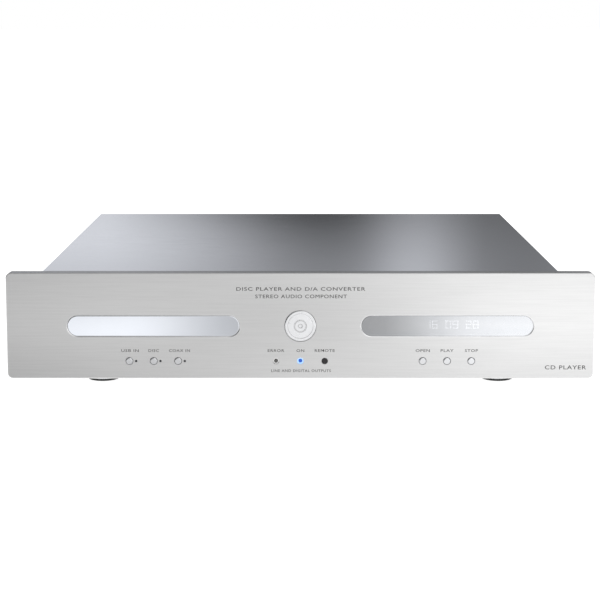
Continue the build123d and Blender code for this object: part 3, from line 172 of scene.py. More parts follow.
# -------------------------------------------------------- kinds of material
def brushed(name, colour, roughness, anisotropy, grain=1.0):
    """Metal with fine straight scratches along X, and wider streaks a little darker."""
    made = Shader(name, colour, roughness, 1.0)
    scratches = made.noise((30.0, 2600.0, 2600.0), detail=4.0, rough=0.6)
    streaks = made.noise((22.0, 750.0, 750.0))
    made.tint(streaks, shade(colour, 1 - 0.035 * grain), 0.38, 0.66)
    made.bump(scratches, 2.8 * grain)
    made.vary_roughness(scratches, roughness - 0.05, roughness + 0.05)
    made.tangent("Z", anisotropy)
    return made.material


def painted(name, colour, roughness, metallic=0.0, relief=20.0):
    """Powder-coated or cast surface: a fine orange-peel relief and slight unevenness in shade."""
    made = Shader(name, colour, roughness, metallic)
    made.bump(made.noise(1500.0, detail=2.0), relief)
    made.tint(made.noise(35.0, detail=4.0), shade(colour, 0.86))
    made.vary_roughness(made.noise(160.0), roughness - 0.05, roughness + 0.07)
    return made.material


def moulded(name, colour, roughness=0.42):
    """Injection-moulded plastic with a faint spark-eroded texture."""
    made = Shader(name, colour, roughness)
    made.bump(made.cells(1900.0), 12.0)
    made.tint(made.noise(60.0, detail=5.0), shade(colour, 0.9, 0.004))
    made.vary_roughness(made.noise(300.0), roughness - 0.04, roughness + 0.08)
    return made.material


def polished(name, colour, roughness, metallic=1.0, clouds=0.94, marks=0.35):
    """Turned or plated metal. clouds is how dark its duller patches are, marks how much its gloss varies."""
    made = Shader(name, colour, roughness, metallic)
    glossiest = roughness * (1 - marks / 2)
    dullest = roughness * (1 + marks)
    made.vary_roughness(made.noise(220.0, detail=6.0), glossiest, dullest)
    made.tint(made.noise(90.0), shade(colour, clouds))
    made.bump(made.noise(900.0, detail=2.0), 2.0)
    return made.material


def rubbery(name, colour):
    """Dull rubber with a coarse grain and paler dust in it."""
    made = Shader(name, colour, 0.78)
    made.bump(made.noise(1100.0, detail=4.0), 50.0)
    made.tint(made.noise(240.0, detail=5.0), shade(colour, 1.7, 0.01), 0.45, 0.75)
    return made.material


def circuit(name, colour):
    """Solder-masked board: paler copper runs under the mask."""
    runs = (160.0, 480.0, 480.0)
    made = Shader(name, colour, 0.32, Coat_Weight=0.3)
    made.tint(made.cells(runs), shade(colour, 1.6, 0.01), 0.32, 0.36)
    made.tint(made.noise(45.0), shade(colour, 0.8))
    made.bump(made.cells(runs), 20.0)
    return made.material


def glowing(name, colour, emission, strength):
    """A lit lens, a little uneven across its face."""
    made = Shader(name, colour, 0.25)
    made.set("Emission Color", (*emission, 1.0))
    uneven = made.noise(700.0, detail=2.0)
    made.link(made.spread(uneven, strength * 0.85, strength * 1.1), made.bsdf.inputs["Emission Strength"])
    return made.material


# -------------------------------------------------------- the slots' materials
brushed("front_aluminium", grey(0.80), 0.40, anisotropy=0.35)
brushed("cover_metal", (0.50, 0.515, 0.54), 0.11, anisotropy=0.3, grain=0.4)
brushed("foot_metal", (0.62, 0.63, 0.65), 0.26, anisotropy=0.2)
painted("chassis_steel", grey(0.55), 0.38, metallic=0.85)
painted("rear_black", (0.022, 0.022, 0.024), 0.5, relief=40.0)
rubbery("rubber", grey(0.018))
polished("emblem_metal", (0.83, 0.835, 0.85), 0.32, metallic=0.6, clouds=0.98)
polished("drawer_metal", (0.86, 0.89, 0.95), 0.10, clouds=0.99, marks=0.05)
polished("button_metal", (0.82, 0.83, 0.85), 0.18)
polished("motor_steel", grey(0.5), 0.3)
moulded("display_glass", grey(0.012), 0.12)
moulded("grey_plastic", (0.15, 0.155, 0.16))
moulded("white_plastic", (0.72, 0.71, 0.67), 0.35)
moulded("lamp_lens", (0.020, 0.022, 0.026), 0.15)
moulded("sensor_lens", (0.010, 0.008, 0.010), 0.12)
moulded("transformer_wrap", (0.42, 0.22, 0.05), 0.28)
moulded("capacitor_black", (0.012, 0.014, 0.03), 0.3)
moulded("lens_glass", (0.16, 0.18, 0.36), 0.05)
circuit("board_green", (0.012, 0.075, 0.035))
glowing("blue_lens", (0.01, 0.03, 0.12), (0.03, 0.16, 0.85), 0.55)
NICKEL = polished("screw_steel", grey(0.58), 0.24)
GOLD = polished("connector_gold", (0.86, 0.62, 0.24), 0.16)
BLACK = moulded("black_plastic", grey(0.016))

# the display window: a mirror coating on its front, clear plastic behind it
mirror = Shader("window_mirror", (0.66, 0.67, 0.69), 0.09, 1.0, Alpha=0.88)
mirror.tint(mirror.noise((12.0, 12.0, 60.0), detail=2.0), (0.62, 0.635, 0.66))
mirror.vary_roughness(mirror.noise(260.0), 0.08, 0.11)
clear = Shader("window_clear", grey(0.9), 0.08, Alpha=0.06)
clear.vary_roughness(clear.noise(200.0), 0.05, 0.1)

slots = {row["node"]: row["material_slot"] for row in frame["record"]["subparts"]}
for name, piece in nodes.items():
    piece.data.materials.clear()
    piece.data.materials.append(MATERIALS[slots[name]])


# -------------------------------------------------------- shading and second materials of the CAD nodes
def paint_faces(node, material, chosen):
    """Gives a second material to the faces that chosen(centre in millimetres, normal) picks."""
    mesh = nodes[node].data
    mesh.materials.append(material)
    index = len(mesh.materials) - 1
    for face in mesh.polygons:
        if chosen(face.center / MM, face.normal):
            face.material_index = index


def smooth(piece, angle):
    """Smooth shading but for edges sharper than the angle, in degrees."""
    mesh = piece.data
    mesh.polygons.foreach_set("use_smooth", [True] * len(mesh.polygons))
    mesh.set_sharp_from_angle(angle=math.radians(angle))


SOFT_ANGLE = 28.0
# the fronts' flattest bevels lean by 27 degrees and have to stay crisp
CRISP_ANGLE = 20.0
for name, piece in nodes.items():
    smooth(piece, CRISP_ANGLE if name in ("front_panel", "tray_front") else SOFT_ANGLE)

PLATE_LOW, PLATE_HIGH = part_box("front_panel")
PLATE_TOP = PLATE_HIGH.z / MM
FRONT_Y = PLATE_LOW.y
REAR_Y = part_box("rear_panel")[1].y
REAR = REAR_Y / MM
WINDOW_LOW, WINDOW_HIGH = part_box("display_window")
WINDOW_FACE = min(v.co.y for v in nodes["display_window"].data.vertices) / MM
EMBLEM_LOW, EMBLEM_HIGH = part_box("emblem_disc")
EMBLEM_Z = (EMBLEM_LOW.z + EMBLEM_HIGH.z) / 2 / MM
CORNER_DROP = 4.6
COATING = 0.35
GROOVES_R = 11.0
RIM_R = 12.0


def is_top_edge(c, n):
    """Whether a face belongs to the plate's top edge and the upper part of its rounded corners."""
    return n.z > 0.3 and n.y > -0.3 and c.z > PLATE_TOP - CORNER_DROP


def is_bevel(n):
    """Whether a face of a front leans away from it but still looks forwards."""
    return 0.3 < -n.y < 0.97


def in_window(c):
    """Whether a point of the plate lies in one of its two windows, which are each other's mirror image."""
    return WINDOW_LOW.z < c.z * MM < WINDOW_HIGH.z and WINDOW_LOW.x < abs(c.x) * MM < WINDOW_HIGH.x


def from_emblem(c):
    """Distance from the emblem's centre line."""
    return math.hypot(c.x, c.z - EMBLEM_Z)


# the plate's top edge and the upper part of its corners: the same brushed metal as the face, painted much
# darker as painted shade
TOP_EDGE_SHADE = brushed("front_edge_painted_shade", (0.34, 0.345, 0.35), 0.36, anisotropy=0.35)
# the slopes of the emblem's rings and middle recess get a darker grey metal than its face: painted shade on
# the slopes
LINE = polished("emblem_slope_shade", grey(0.55), 0.35, metallic=0.8)
RIM = polished("emblem_rim", (0.80, 0.805, 0.82), 0.16)
# the bevels round the two windows: a glossier polish, and a paler colour than the plate's that is painted
# highlight
WINDOW_BEVEL_HIGHLIGHT = polished("chamfer_polish_and_highlight", (0.93, 0.935, 0.94), 0.16)
SATIN = polished("bar_break", (0.84, 0.86, 0.90), 0.2, metallic=0.95)
paint_faces("front_panel", TOP_EDGE_SHADE, is_top_edge)
paint_faces("emblem_disc", LINE, lambda c, n: n.y > -0.95 and from_emblem(c) < GROOVES_R)
paint_faces("emblem_disc", RIM, lambda c, n: from_emblem(c) > RIM_R)
paint_faces("front_panel", WINDOW_BEVEL_HIGHLIGHT, lambda c, n: is_bevel(n) and in_window(c))
paint_faces("tray_front", SATIN, lambda c, n: is_bevel(n))
paint_faces("display_window", mirror.material, lambda c, n: c.y < WINDOW_FACE + COATING)


# -------------------------------------------------------- piece helpers
def in_scene(name, data):
    made = bpy.data.objects.new(name, data)
    scene.collection.objects.link(made)
    return made


def as_mesh(name, made):
    """The mesh of a bmesh, which is freed."""
    mesh = bpy.data.meshes.new(name)
    made.to_mesh(mesh)
    made.free()
    return mesh


def finish_piece(name, mesh, material, body, smooth_angle=None):
    """A mesh as a piece of one material, which rides on a body."""
    piece = in_scene(name, mesh)
    mesh.materials.clear()
    mesh.materials.append(material)
    if smooth_angle:
        smooth(piece, smooth_angle)
    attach(piece, body)
    return piece


LETTER_RELIEF = 40 * MICRON
LETTER_SPACING = 1.12
# how much the strokes are thickened, as a share of the letters' size
LETTER_WEIGHT = 0.009


def flat_text(text):
    """A line of text as a flat mesh, of whatever size."""
    curve = bpy.data.curves.new("letters", "FONT")
    curve.body = text
    curve.align_x = "CENTER"
    curve.align_y = "CENTER"
    curve.resolution_u = 3
    curve.space_character = LETTER_SPACING
    curve.offset = LETTER_WEIGHT
    holder = in_scene("letters", curve)
    bpy.context.view_layer.update()
    flat = bpy.data.meshes.new_from_object(holder.evaluated_get(bpy.context.evaluated_depsgraph_get()))
    bpy.data.objects.remove(holder)
    bpy.data.curves.remove(curve)
    return flat


def letters(lines):
    """One mesh of raised lettering that looks towards -Y. Each line is (text, x, z, height, width), in mm."""
    made = bmesh.new()
    for text, x, z, height, width in lines:
        flat = flat_text(text)
        xs = [v.co.x for v in flat.vertices]
        ys = [v.co.y for v in flat.vertices]
        high = height * MM / (max(ys) - min(ys))
        wide = width * MM / (max(xs) - min(xs))
        middle = Vector(((max(xs) + min(xs)) / 2, (max(ys) + min(ys)) / 2))
        for v in flat.vertices:
            v.co = ((v.co.x - middle.x) * wide + x * MM, 0.0, (v.co.y - middle.y) * high + z * MM)
        made.from_mesh(flat)
        bpy.data.meshes.remove(flat)
    bmesh.ops.dissolve_limit(made, angle_limit=0.01, verts=made.verts, edges=made.edges)
    grown = bmesh.ops.extrude_face_region(made, geom=made.faces[:])
    moved = [g for g in grown["geom"] if isinstance(g, bmesh.types.BMVert)]
    bmesh.ops.translate(made, vec=(0, -LETTER_RELIEF, 0), verts=moved)
    bmesh.ops.recalc_face_normals(made, faces=made.faces[:])
    bmesh.ops.triangulate(made, faces=made.faces[:])
    return as_mesh("letters", made)


TURNED_SIDES = 48


def turned(name, profile, centre, axis, material):
    """A lathed piece of the case. profile is closed: (place along the axis from centre, radius), in mm."""
    made = bmesh.new()
    turn = Vector((0, 0, 1)).rotation_difference(Vector(axis)).to_matrix().to_4x4()
    place = Matrix.Translation(Vector(centre)) @ turn
    rings = []
    for k in range(TURNED_SIDES):
        angle = 2 * math.pi * k / TURNED_SIDES
        ring = []
        for along, radius in profile:
            point = Vector((radius * math.cos(angle), radius * math.sin(angle), along)) * MM
            ring.append(made.verts.new(place @ point))
        rings.append(ring)
    count = len(profile)
    for k in range(TURNED_SIDES):
        one, two = rings[k], rings[(k + 1) % TURNED_SIDES]
        for j in range(count):
            made.faces.new((one[j], one[(j + 1) % count], two[(j + 1) % count], two[j]))
    bmesh.ops.remove_doubles(made, verts=made.verts[:], dist=1e-7)
    bmesh.ops.recalc_face_normals(made, faces=made.faces[:])
    return finish_piece(name, as_mesh(name, made), material, "case", 30.0)


def rounded_block(name, low, high, radius, material, slot):
    """A block of the case between two corners in millimetres, with rounded edges."""
    made = bmesh.new()
    bmesh.ops.create_cube(made, size=1.0)
    size = Vector(high) - Vector(low)
    middle = (Vector(high) + Vector(low)) / 2
    for v in made.verts:
        v.co = Vector((v.co.x * size.x, v.co.y * size.y, v.co.z * size.z)) + middle
    bmesh.ops.bevel(made, geom=made.edges[:], offset=radius, segments=3, profile=0.5, affect="EDGES")
    for v in made.verts:
        v.co *= MM
    return finish_piece(name, as_mesh(name, made), material, "case", 40.0)


# -------------------------------------------------------- lettering on the front plate
INK = painted("legend_ink", grey(0.075), 0.55)
BUTTON_X = {n: (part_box(n)[0].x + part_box(n)[1].x) / 2 / MM for n in nodes if n.endswith("_button")}
ERROR_X = -20.0
REMOTE_X = 20.0
LABEL_Z = 35.5
LABEL_H = 2.3
plate_lines = [
    ("DISC PLAYER AND D/A CONVERTER", 0.4, 86.9, 3.0, 105.5),
    ("STEREO AUDIO COMPONENT", 0.6, 80.7, 3.0, 75.0),
    ("USB IN", BUTTON_X["usb_button"] + 0.6, LABEL_Z, LABEL_H, 14.4),
    ("DISC", BUTTON_X["disc_button"], LABEL_Z, LABEL_H, 8.6),
    ("COAX IN", BUTTON_X["coax_button"] + 1.2, LABEL_Z, LABEL_H, 17.2),
    ("ERROR", ERROR_X, LABEL_Z, LABEL_H, 13.6),
    ("ON", 0.0, LABEL_Z, LABEL_H, 6.4),
    ("REMOTE", REMOTE_X, LABEL_Z, LABEL_H, 16.4),
    ("OPEN", BUTTON_X["open_button"], LABEL_Z, LABEL_H, 11.6),
    ("PLAY", BUTTON_X["play_button"], LABEL_Z, LABEL_H, 10.6),
    ("STOP", BUTTON_X["stop_button"], LABEL_Z, LABEL_H, 10.8),
    ("LINE AND DIGITAL OUTPUTS", 0.6, 18.6, 2.2, 49.0),
    ("CD PLAYER", 218.0, 21.4, 3.4, 34.0),
]
plate_mesh = letters(plate_lines)
plate_mesh.transform(Matrix.Translation((0, FRONT_Y, 0)))
finish_piece("plate_legends", plate_mesh, INK, "case")

# -------------------------------------------------------- display digits, on the module behind
MODULE_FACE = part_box("display_module")[0].y
DIGIT_Y = MODULE_FACE - 50 * MICRON
DIGIT_Z = 50.8
DIGIT_W = 4.6
DIGIT_H = 6.7
DIGIT_STEP = 5.8
STROKE = 0.7
# what the display shows: pairs of digits, and where each pair starts
READING = (("16", 103.4), ("09", 120.5), ("28", 137.4))
SEGMENTS = {"0": "abcdef", "1": "bc", "2": "abged", "6": "afgedc", "8": "abcdefg", "9": "abcdfg"}


def digit_bars(digit, x, z):
    """The bars of one seven-segment digit whose lower left corner is (x, z): (low, high) corners in mm."""
    w, h, s = DIGIT_W, DIGIT_H, STROKE
    places = {
        "a": ((x, z + h - s), (x + w, z + h)),
        "b": ((x + w - s, z + h / 2), (x + w, z + h)),
        "c": ((x + w - s, z), (x + w, z + h / 2)),
        "d": ((x, z), (x + w, z + s)),
        "e": ((x, z), (x + s, z + h / 2)),
        "f": ((x, z + h / 2), (x + s, z + h)),
        "g": ((x, z + h / 2 - s / 2), (x + w, z + h / 2 + s / 2)),
    }
    return [places[name] for name in SEGMENTS[digit]]


digits = bmesh.new()
for text, start in READING:
    for k, digit in enumerate(text):
        for low, high in digit_bars(digit, start + DIGIT_STEP * k, DIGIT_Z):
            corners = [(low[0], low[1]), (high[0], low[1]), (high[0], high[1]), (low[0], high[1])]
            digits.faces.new([digits.verts.new((x * MM, DIGIT_Y, z * MM)) for x, z in corners])
GLOW = glowing("digit_glow", grey(0.6), (0.93, 0.94, 1.0), 1.2)
finish_piece("display_digits", as_mesh("display_digits", digits), GLOW, "case")

# -------------------------------------------------------- lamps: surrounds in two pockets of the plate
LAMP_Z = (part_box("power_led")[0].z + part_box("power_led")[1].z) / 2
LAMP_RING = [(0.0, 1.72), (0.0, 2.6), (0.5, 2.6), (0.7, 2.3), (0.7, 1.9), (0.5, 1.72)]
POCKET_Y = FRONT_Y + 1.58 * MM
HALO = glowing("lamp_halo", (0.35, 0.5, 0.8), (0.35, 0.62, 1.0), 0.75)
FROSTED = moulded("lamp_surround", grey(0.85), 0.4)
SMOKED = moulded("error_lens", (0.09, 0.088, 0.085), 0.2)
# the remote sensor's rounded rim gets a mid grey around its near-black lens: a painted highlight on the rim
SENSOR_RIM_HIGHLIGHT = moulded("sensor_rim_highlight", grey(0.22), 0.35)
paint_faces("status_leds", SMOKED, lambda c, n: abs(c.x - ERROR_X) < 3.0)
paint_faces("ir_sensor", SENSOR_RIM_HIGHLIGHT, lambda c, n: n.y > -0.93)
for name, x, material in (("error_surround", ERROR_X, FROSTED), ("power_halo", 0.0, HALO)):
    turned(name, LAMP_RING, (x * MM, POCKET_Y, LAMP_Z), (0, -1, 0), material)

# -------------------------------------------------------- back: sockets' inner parts, rings, lettering
XLR_SPOTS = ((190.0, 54.0), (152.0, 54.0))
XLR_INSERT_R = 9.3
XLR_PINS_R = 4.2
XLR_PIN_R = 1.35
RCA_SPOTS = ((108.0, 66.0), (108.0, 42.0), (56.0, 66.0), (56.0, 42.0))
RCA_FLANGE = 2.55
RCA_RING = [(0.0, 4.25), (0.0, 6.0), (0.7, 6.0), (1.0, 5.7), (1.0, 4.6), (0.7, 4.25)]
MAINS_X = -168.0


def near(c, spots, radius):
    return any(math.hypot(c.x - x, c.z - z) < radius for x, z in spots)


def is_mains_pin(c, n):
    """Whether a face belongs to one of the three pins in the middle of the inlet's well."""
    return abs(c.x - MAINS_X) < 8.5 and 36 < c.z < 47 and REAR - 17.3 < c.y < REAR - 2.9


pins = [
    (x + XLR_PINS_R * math.cos(math.radians(a)), z + XLR_PINS_R * math.sin(math.radians(a)))
    for x, z in XLR_SPOTS
    for a in (90, 210, 330)
]
paint_faces("rca_sockets", NICKEL, lambda c, n: c.y < REAR + RCA_FLANGE)
paint_faces("xlr_sockets", BLACK, lambda c, n: near(c, XLR_SPOTS, XLR_INSERT_R) and c.y < REAR + 1.2)
paint_faces("xlr_sockets", GOLD, lambda c, n: near(c, pins, XLR_PIN_R) and c.y > REAR - 15)
paint_faces("mains_inlet", NICKEL, is_mains_pin)

ORANGE = (0.85, 0.24, 0.02)
RINGS = {
    "line_ring_left": (RCA_SPOTS[0], (0.75, 0.75, 0.73)),
    "line_ring_right": (RCA_SPOTS[1], (0.55, 0.02, 0.015)),
    "coax_ring_in": (RCA_SPOTS[2], ORANGE),
    "coax_ring_out": (RCA_SPOTS[3], ORANGE),
}
for name, ((x, z), colour) in RINGS.items():
    # each ring sinks a hair into the socket's flange
    centre = (x * MM, REAR_Y + (RCA_FLANGE - 0.03) * MM, z * MM)
    turned(name, RCA_RING, centre, (0, 1, 0), moulded(name, colour, 0.3))

fuse_drawer = ((MAINS_X - 12, REAR + 2.3, 51.6), (MAINS_X + 12, REAR + 3.4, 61.0))
fuse_grip = ((MAINS_X - 4, REAR + 3.2, 53.0), (MAINS_X + 4, REAR + 4.2, 54.4))
rounded_block("fuse_drawer", *fuse_drawer, 0.5, BLACK, "black_plastic")
rounded_block("fuse_drawer_grip", *fuse_grip, 0.4, BLACK, "black_plastic")

WHITE_INK = painted("rear_ink", grey(0.72), 0.5)
rear_lines = [
    ("BALANCED OUT", 171.0, 82.0, 2.6, 34.0),
    ("LEFT", 190.0, 75.0, 2.2, 8.5),
    ("RIGHT", 152.0, 75.0, 2.2, 10.5),
    ("LINE OUT", 108.0, 82.0, 2.6, 20.0),
    ("L", 96.5, 66.0, 2.6, 2.0),
    ("R", 96.5, 42.0, 2.6, 2.3),
    ("DIGITAL COAX", 56.0, 82.0, 2.6, 30.0),
    ("IN", 44.5, 66.0, 2.4, 4.2),
    ("OUT", 43.0, 42.0, 2.4, 7.2),
    ("USB", 20.0, 65.5, 2.4, 8.0),
    ("MAINS", MAINS_X, 89.0, 2.6, 14.0),
]
rear_mesh = letters([(text, -x, z, height, width) for text, x, z, height, width in rear_lines])
rear_mesh.transform(Matrix.Translation((0, REAR_Y, 0)) @ Matrix.Rotation(math.pi, 4, "Z"))
finish_piece("rear_legends", rear_mesh, WHITE_INK, "case")

# -------------------------------------------------------- marks on the rocker's two faces
# The rocker leans on its pivot. Its two faces rise from the middle towards the upper and the lower edge.
ROCKER_PIVOT = Vector((MAINS_X, 169.5, 70.5)) * MM
ROCKER_LEAN = math.radians(8.0)
ROCKER_MIDDLE = 4.5
ROCKER_RISE = 1.1
ROCKER_HALF = 6.3
MARK_Z = 3.3
lean = Matrix.Translation(ROCKER_PIVOT) @ Matrix.Rotation(ROCKER_LEAN, 4, "X")
marks = bmesh.new()
for text, width, z in (("I", 0.7, MARK_Z), ("O", 2.6, -MARK_Z)):
    flat = letters([(text, 0.0, 0.0, 3.0, width)])
    slope = math.atan2(ROCKER_RISE, ROCKER_HALF) * (1 if z > 0 else -1)
    face_y = ROCKER_MIDDLE + ROCKER_RISE * MARK_Z / ROCKER_HALF
    face = lean @ Matrix.Translation(Vector((0, face_y * MM, z * MM)))
    flat.transform(face @ Matrix.Rotation(-slope, 4, "X") @ Matrix.Rotation(math.pi, 4, "Z"))
    marks.from_mesh(flat)
    bpy.data.meshes.remove(flat)
finish_piece("rocker_marks", as_mesh("rocker_marks", marks), WHITE_INK, "power_rocker")


# -------------------------------------------------------- studio: floor, light cards, lights, camera
def ramp(tree, axis, low, high, stops):
    """A colour ramp along one object axis, in metres. stops are (position in metres, grey or colour)."""
    place = tree.nodes.new("ShaderNodeTexCoord")
    split = tree.nodes.new("ShaderNodeSeparateXYZ")
    tree.links.new(place.outputs["Object"], split.inputs[0])
    mapped = tree.nodes.new("ShaderNodeMapRange")
    mapped.inputs["From Min"].default_value = low
    mapped.inputs["From Max"].default_value = high
    tree.links.new(split.outputs[axis], mapped.inputs["Value"])
    colours = tree.nodes.new("ShaderNodeValToRGB")
    colours.color_ramp.interpolation = "B_SPLINE"
    elements = colours.color_ramp.elements
    while len(elements) < len(stops):
        elements.new(0.5)
    for element, (place_at, value) in zip(elements, stops):
        element.position = (place_at - low) / (high - low)
        element.color = (*(value if isinstance(value, tuple) else grey(value)), 1.0)
    tree.links.new(mapped.outputs["Result"], colours.inputs["Fac"])
    return colours.outputs["Color"]


def blended(tree, factor, first, second):
    """The first colour where the factor is 0, the second where it is 1."""
    mix = tree.nodes.new("ShaderNodeMix")
    mix.data_type = "RGBA"
    tree.links.new(factor, mix.inputs[MIX_FACTOR])
    tree.links.new(first, mix.inputs[MIX_A])
    tree.links.new(second, mix.inputs[MIX_B])
    return mix.outputs[MIX_RESULT]


def light_material(name):
    """A material without a shader yet: the material, its tree, its surface socket and an emission node."""
    material = bpy.data.materials.new(name)
    material.use_nodes = True
    material.cycles.emission_sampling = "NONE"
    tree = material.node_tree
    tree.nodes.clear()
    output = tree.nodes.new("ShaderNodeOutputMaterial")
    return material, tree, output.inputs["Surface"], tree.nodes.new("ShaderNodeEmission")


def only_in_reflections(piece):
    for rays in ("camera", "diffuse", "transmission", "volume_scatter", "shadow"):
        setattr(piece, "visible_" + rays, False)


def flat_sheet(name, width, height):
    w, h = width / 2, height / 2
    mesh = bpy.data.meshes.new(name)
    mesh.from_pydata([(-w, -h, 0), (w, -h, 0), (w, h, 0), (-w, h, 0)], [], [(0, 1, 2, 3)])
    return in_scene(name, mesh)


def emitter(name, width, height, matrix, build, solid_to):
    """A card that only reflections see. build(tree, emission) sets its light. Beyond solid_to, in metres from
    its middle, it fades out towards its sides."""
    card = flat_sheet(name, width, height)
    card.matrix_world = matrix
    material, tree, surface, emission = light_material(name)
    side = width / 2
    gone = tree.nodes.new("ShaderNodeBsdfTransparent")
    mix = tree.nodes.new("ShaderNodeMixShader")
    fade = [(-side, 0.0), (-solid_to, 1.0), (solid_to, 1.0), (side, 0.0)]
    tree.links.new(ramp(tree, "X", -side, side, fade), mix.inputs[0])
    tree.links.new(gone.outputs[0], mix.inputs[1])
    tree.links.new(emission.outputs[0], mix.inputs[2])
    tree.links.new(mix.outputs[0], surface)
    build(tree, emission)
    card.data.materials.append(material)
    only_in_reflections(card)
    card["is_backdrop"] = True


def floor_card(tree, emission):
    """What the front sees below it: a smooth ramp, and a strip that the two windows mirror to the camera."""
    plate = [
        (-0.60, 0.11), (-0.30, 0.195), (-0.20, 0.245), (-0.10, 0.355), (0.0, 0.48), (0.10, 0.51),
        (0.20, 0.485), (0.30, 0.475), (0.60, 0.46),
    ]
    strip = [
        (-0.60, 0.30), (-0.30, 0.46), (-0.235, 0.475), (-0.18, 0.525), (-0.145, 0.485), (-0.11, 0.365),
        (-0.075, 0.265), (-0.045, 0.24), (0.045, 0.235), (0.085, 0.295), (0.10, 0.35), (0.126, 0.515),
        (0.162, 0.71), (0.21, 0.83), (0.26, 0.85), (0.60, 0.5),
    ]
    strength = [
        (-1.5, 0.89), (1.14, 0.89), (1.205, 0.86), (1.298, 1.0), (1.345, 0.92), (1.40, 0.85), (1.5, 0.86),
    ]
    strip_rows = [(1.14, 0.0), (1.17, 1.0), (1.25, 1.0), (1.33, 1.0), (1.36, 0.0)]
    in_strip = ramp(tree, "Y", 1.14, 1.36, strip_rows)
    light = blended(tree, in_strip, ramp(tree, "X", -0.60, 0.60, plate), ramp(tree, "X", -0.60, 0.60, strip))
    tree.links.new(light, emission.inputs["Color"])
    # a ramp gives 1 at most, so the strength is multiplied afterwards
    brighter = tree.nodes.new("ShaderNodeMath")
    brighter.operation = "MULTIPLY"
    brighter.inputs[1].default_value = 2.2
    tree.links.new(ramp(tree, "Y", -1.5, 1.5, strength), brighter.inputs[0])
    tree.links.new(brighter.outputs[0], emission.inputs["Strength"])


def front_card(tree, emission):
    """What the front sees before it: dark to the left, bright to the right."""
    stops = [(-1.2, 0.10), (-0.45, 0.13), (-0.2, 0.27), (0.0, 0.44), (0.2, 0.55), (0.45, 0.62), (1.2, 0.66)]
    tree.links.new(ramp(tree, "X", -1.2, 1.2, stops), emission.inputs["Color"])
    emission.inputs["Strength"].default_value = 2.0


def rear_card(tree, emission):
    """What the cover mirrors: dark behind the middle, brighter to the left, in three rows."""
    low_row = [
        (-0.72, 0.50), (-0.478, 0.54), (-0.407, 0.43), (-0.336, 0.33), (-0.266, 0.25), (-0.195, 0.145),
        (-0.124, 0.08), (-0.054, 0.03), (0.017, 0.012), (0.088, 0.012), (0.159, 0.05), (0.229, 0.14),
        (0.300, 0.17), (0.371, 0.115), (0.442, 0.075), (0.64, 0.07), (0.72, 0.34),
    ]
    middle_row = [
        (-0.72, 0.66), (-0.478, 0.68), (-0.407, 0.63), (-0.336, 0.57), (-0.266, 0.50), (-0.195, 0.41),
        (-0.124, 0.305), (-0.054, 0.21), (0.017, 0.15), (0.088, 0.13), (0.159, 0.175), (0.229, 0.31),
        (0.300, 0.345), (0.371, 0.235), (0.442, 0.14), (0.64, 0.10), (0.72, 0.38),
    ]
    high_row = [
        (-0.72, 0.50), (-0.478, 0.46), (-0.407, 0.44), (-0.336, 0.41), (-0.266, 0.36), (-0.195, 0.325),
        (-0.124, 0.285), (-0.054, 0.245), (0.017, 0.22), (0.088, 0.215), (0.159, 0.25), (0.229, 0.42),
        (0.300, 0.45), (0.371, 0.295), (0.442, 0.185), (0.64, 0.12), (0.72, 0.38),
    ]
    low, middle, high = [
        ramp(tree, "X", -0.72, 0.72, [(x, (0.985 * v, v, 1.055 * v)) for x, v in row])
        for row in (low_row, middle_row, high_row)
    ]
    past_low = ramp(tree, "Y", -0.09, 0.02, [(-0.09, 0.0), (-0.055, 0.03), (-0.02, 0.7), (0.02, 1.0)])
    past_middle = ramp(tree, "Y", 0.0, 0.09, [(0.0, 0.0), (0.04, 0.5), (0.09, 1.0)])
    light = blended(tree, past_middle, blended(tree, past_low, low, middle), high)
    tree.links.new(light, emission.inputs["Color"])
    emission.inputs["Strength"].default_value = 1.7


UPRIGHT = Matrix.Rotation(math.pi / 2, 4, "X")
# just above the floor, so that the two don't coincide
emitter("floor_card", 2.4, 3.0, Matrix.Translation((0, -1.69, 0.0006)), floor_card, 0.9)
emitter("front_card", 2.4, 1.6, Matrix.Translation((0, -1.0, 0.82)) @ UPRIGHT, front_card, 0.8)
emitter("rear_card", 3.0, 1.6, Matrix.Translation((0, 2.0, 0.42)) @ UPRIGHT, rear_card, 1.0)

# a dome behind the cards, brighter above and to the right
DOME_R = 5.0
dome_build = bmesh.new()
bmesh.ops.create_icosphere(dome_build, subdivisions=4, radius=DOME_R)
dome = in_scene("studio_dome", as_mesh("studio_dome", dome_build))
dome_material, dome_tree, dome_surface, dome_glow = light_material("studio_dome")
dome_rows = [(-DOME_R, 0.75), (-0.5, 0.7), (0.3, 0.45), (2.0, 0.5), (3.5, 0.85), (DOME_R, 0.95)]
dome_sides = [(-DOME_R, 0.22), (-1.3, 0.25), (-0.4, 0.40), (0.4, 0.62), (1.3, 0.92), (DOME_R, 1.0)]
dome_tree.links.new(ramp(dome_tree, "Z", -DOME_R, DOME_R, dome_rows), dome_glow.inputs["Color"])
dome_tree.links.new(ramp(dome_tree, "X", -DOME_R, DOME_R, dome_sides), dome_glow.inputs["Strength"])
dome_tree.links.new(dome_glow.outputs[0], dome_surface)
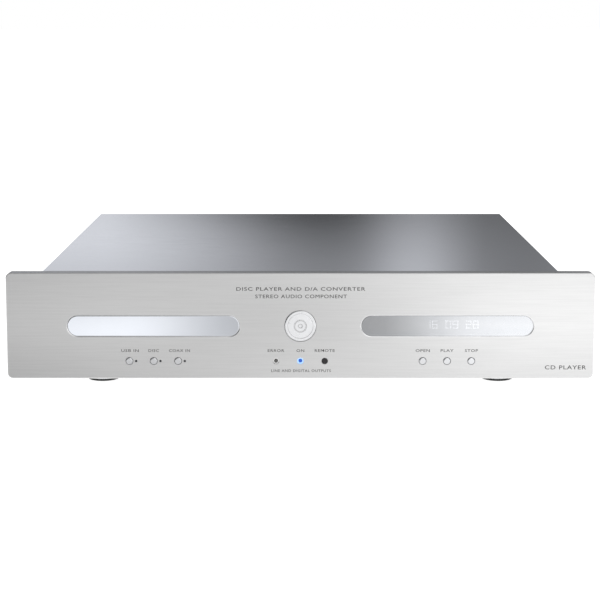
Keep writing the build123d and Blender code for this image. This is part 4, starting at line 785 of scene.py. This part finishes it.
dome.data.materials.append(dome_material)
only_in_reflections(dome)
dome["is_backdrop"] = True

FLOOR_SIDE = 80.0
floor = flat_sheet("floor", FLOOR_SIDE, FLOOR_SIDE)
floor_shader = Shader("floor_white", grey(0.5), 0.9)
floor_shader.set("Specular IOR Level", 0.0)
floor_shader.set("Emission Color", (1.0, 1.0, 1.0, 1.0))
floor_shader.set("Emission Strength", 0.85)
floor_shader.material.cycles.emission_sampling = "NONE"
floor.data.materials.append(floor_shader.material)
floor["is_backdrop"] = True

world = bpy.data.worlds.new("studio")
world.use_nodes = True
background = world.node_tree.nodes["Background"]
background.inputs["Color"].default_value = (1.0, 1.0, 1.0, 1.0)
background.inputs["Strength"].default_value = 1.0
scene.world = world


def soft_light(name, place, size, watts):
    """An area light that looks at the object's middle and isn't mirrored in it."""
    light = bpy.data.lights.new(name, "AREA")
    light.shape = "RECTANGLE"
    light.size, light.size_y = size
    light.energy = watts
    holder = in_scene(name, light)
    holder.location = place
    aim = Vector((0, 0, (CAD_LOW.z + CAD_HIGH.z) / 2)) - Vector(place)
    holder.rotation_euler = aim.to_track_quat("-Z", "Y").to_euler()
    holder.visible_camera = False
    holder.visible_glossy = False


soft_light("key_light", (1.0, -1.2, 1.6), (1.4, 1.0), 10.0)
soft_light("fill_light", (-1.3, -1.0, 1.2), (1.2, 1.0), 4.0)

# The photograph's viewpoint: in front, a little above, and looking down by this angle. The shift puts the
# object in the upper part of the picture, as there.
LOOK_DOWN = 6.57
camera_data = bpy.data.cameras.new("camera")
camera_data.lens = 83.74
camera_data.sensor_width = 36.0
camera_data.shift_y = -0.20
camera_data.clip_start = 0.05
camera_data.clip_end = 200.0
camera = in_scene("camera", camera_data)
camera.location = (-0.0003, -1.3096, 0.3058)
camera.rotation_euler = (math.radians(90.0 - LOOK_DOWN), 0.0, 0.0)
scene.camera = camera

scene.view_settings.view_transform = "Standard"
scene.view_settings.look = "None"
scene.view_settings.exposure = 0.0
scene.view_settings.gamma = 1.0

low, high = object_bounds()
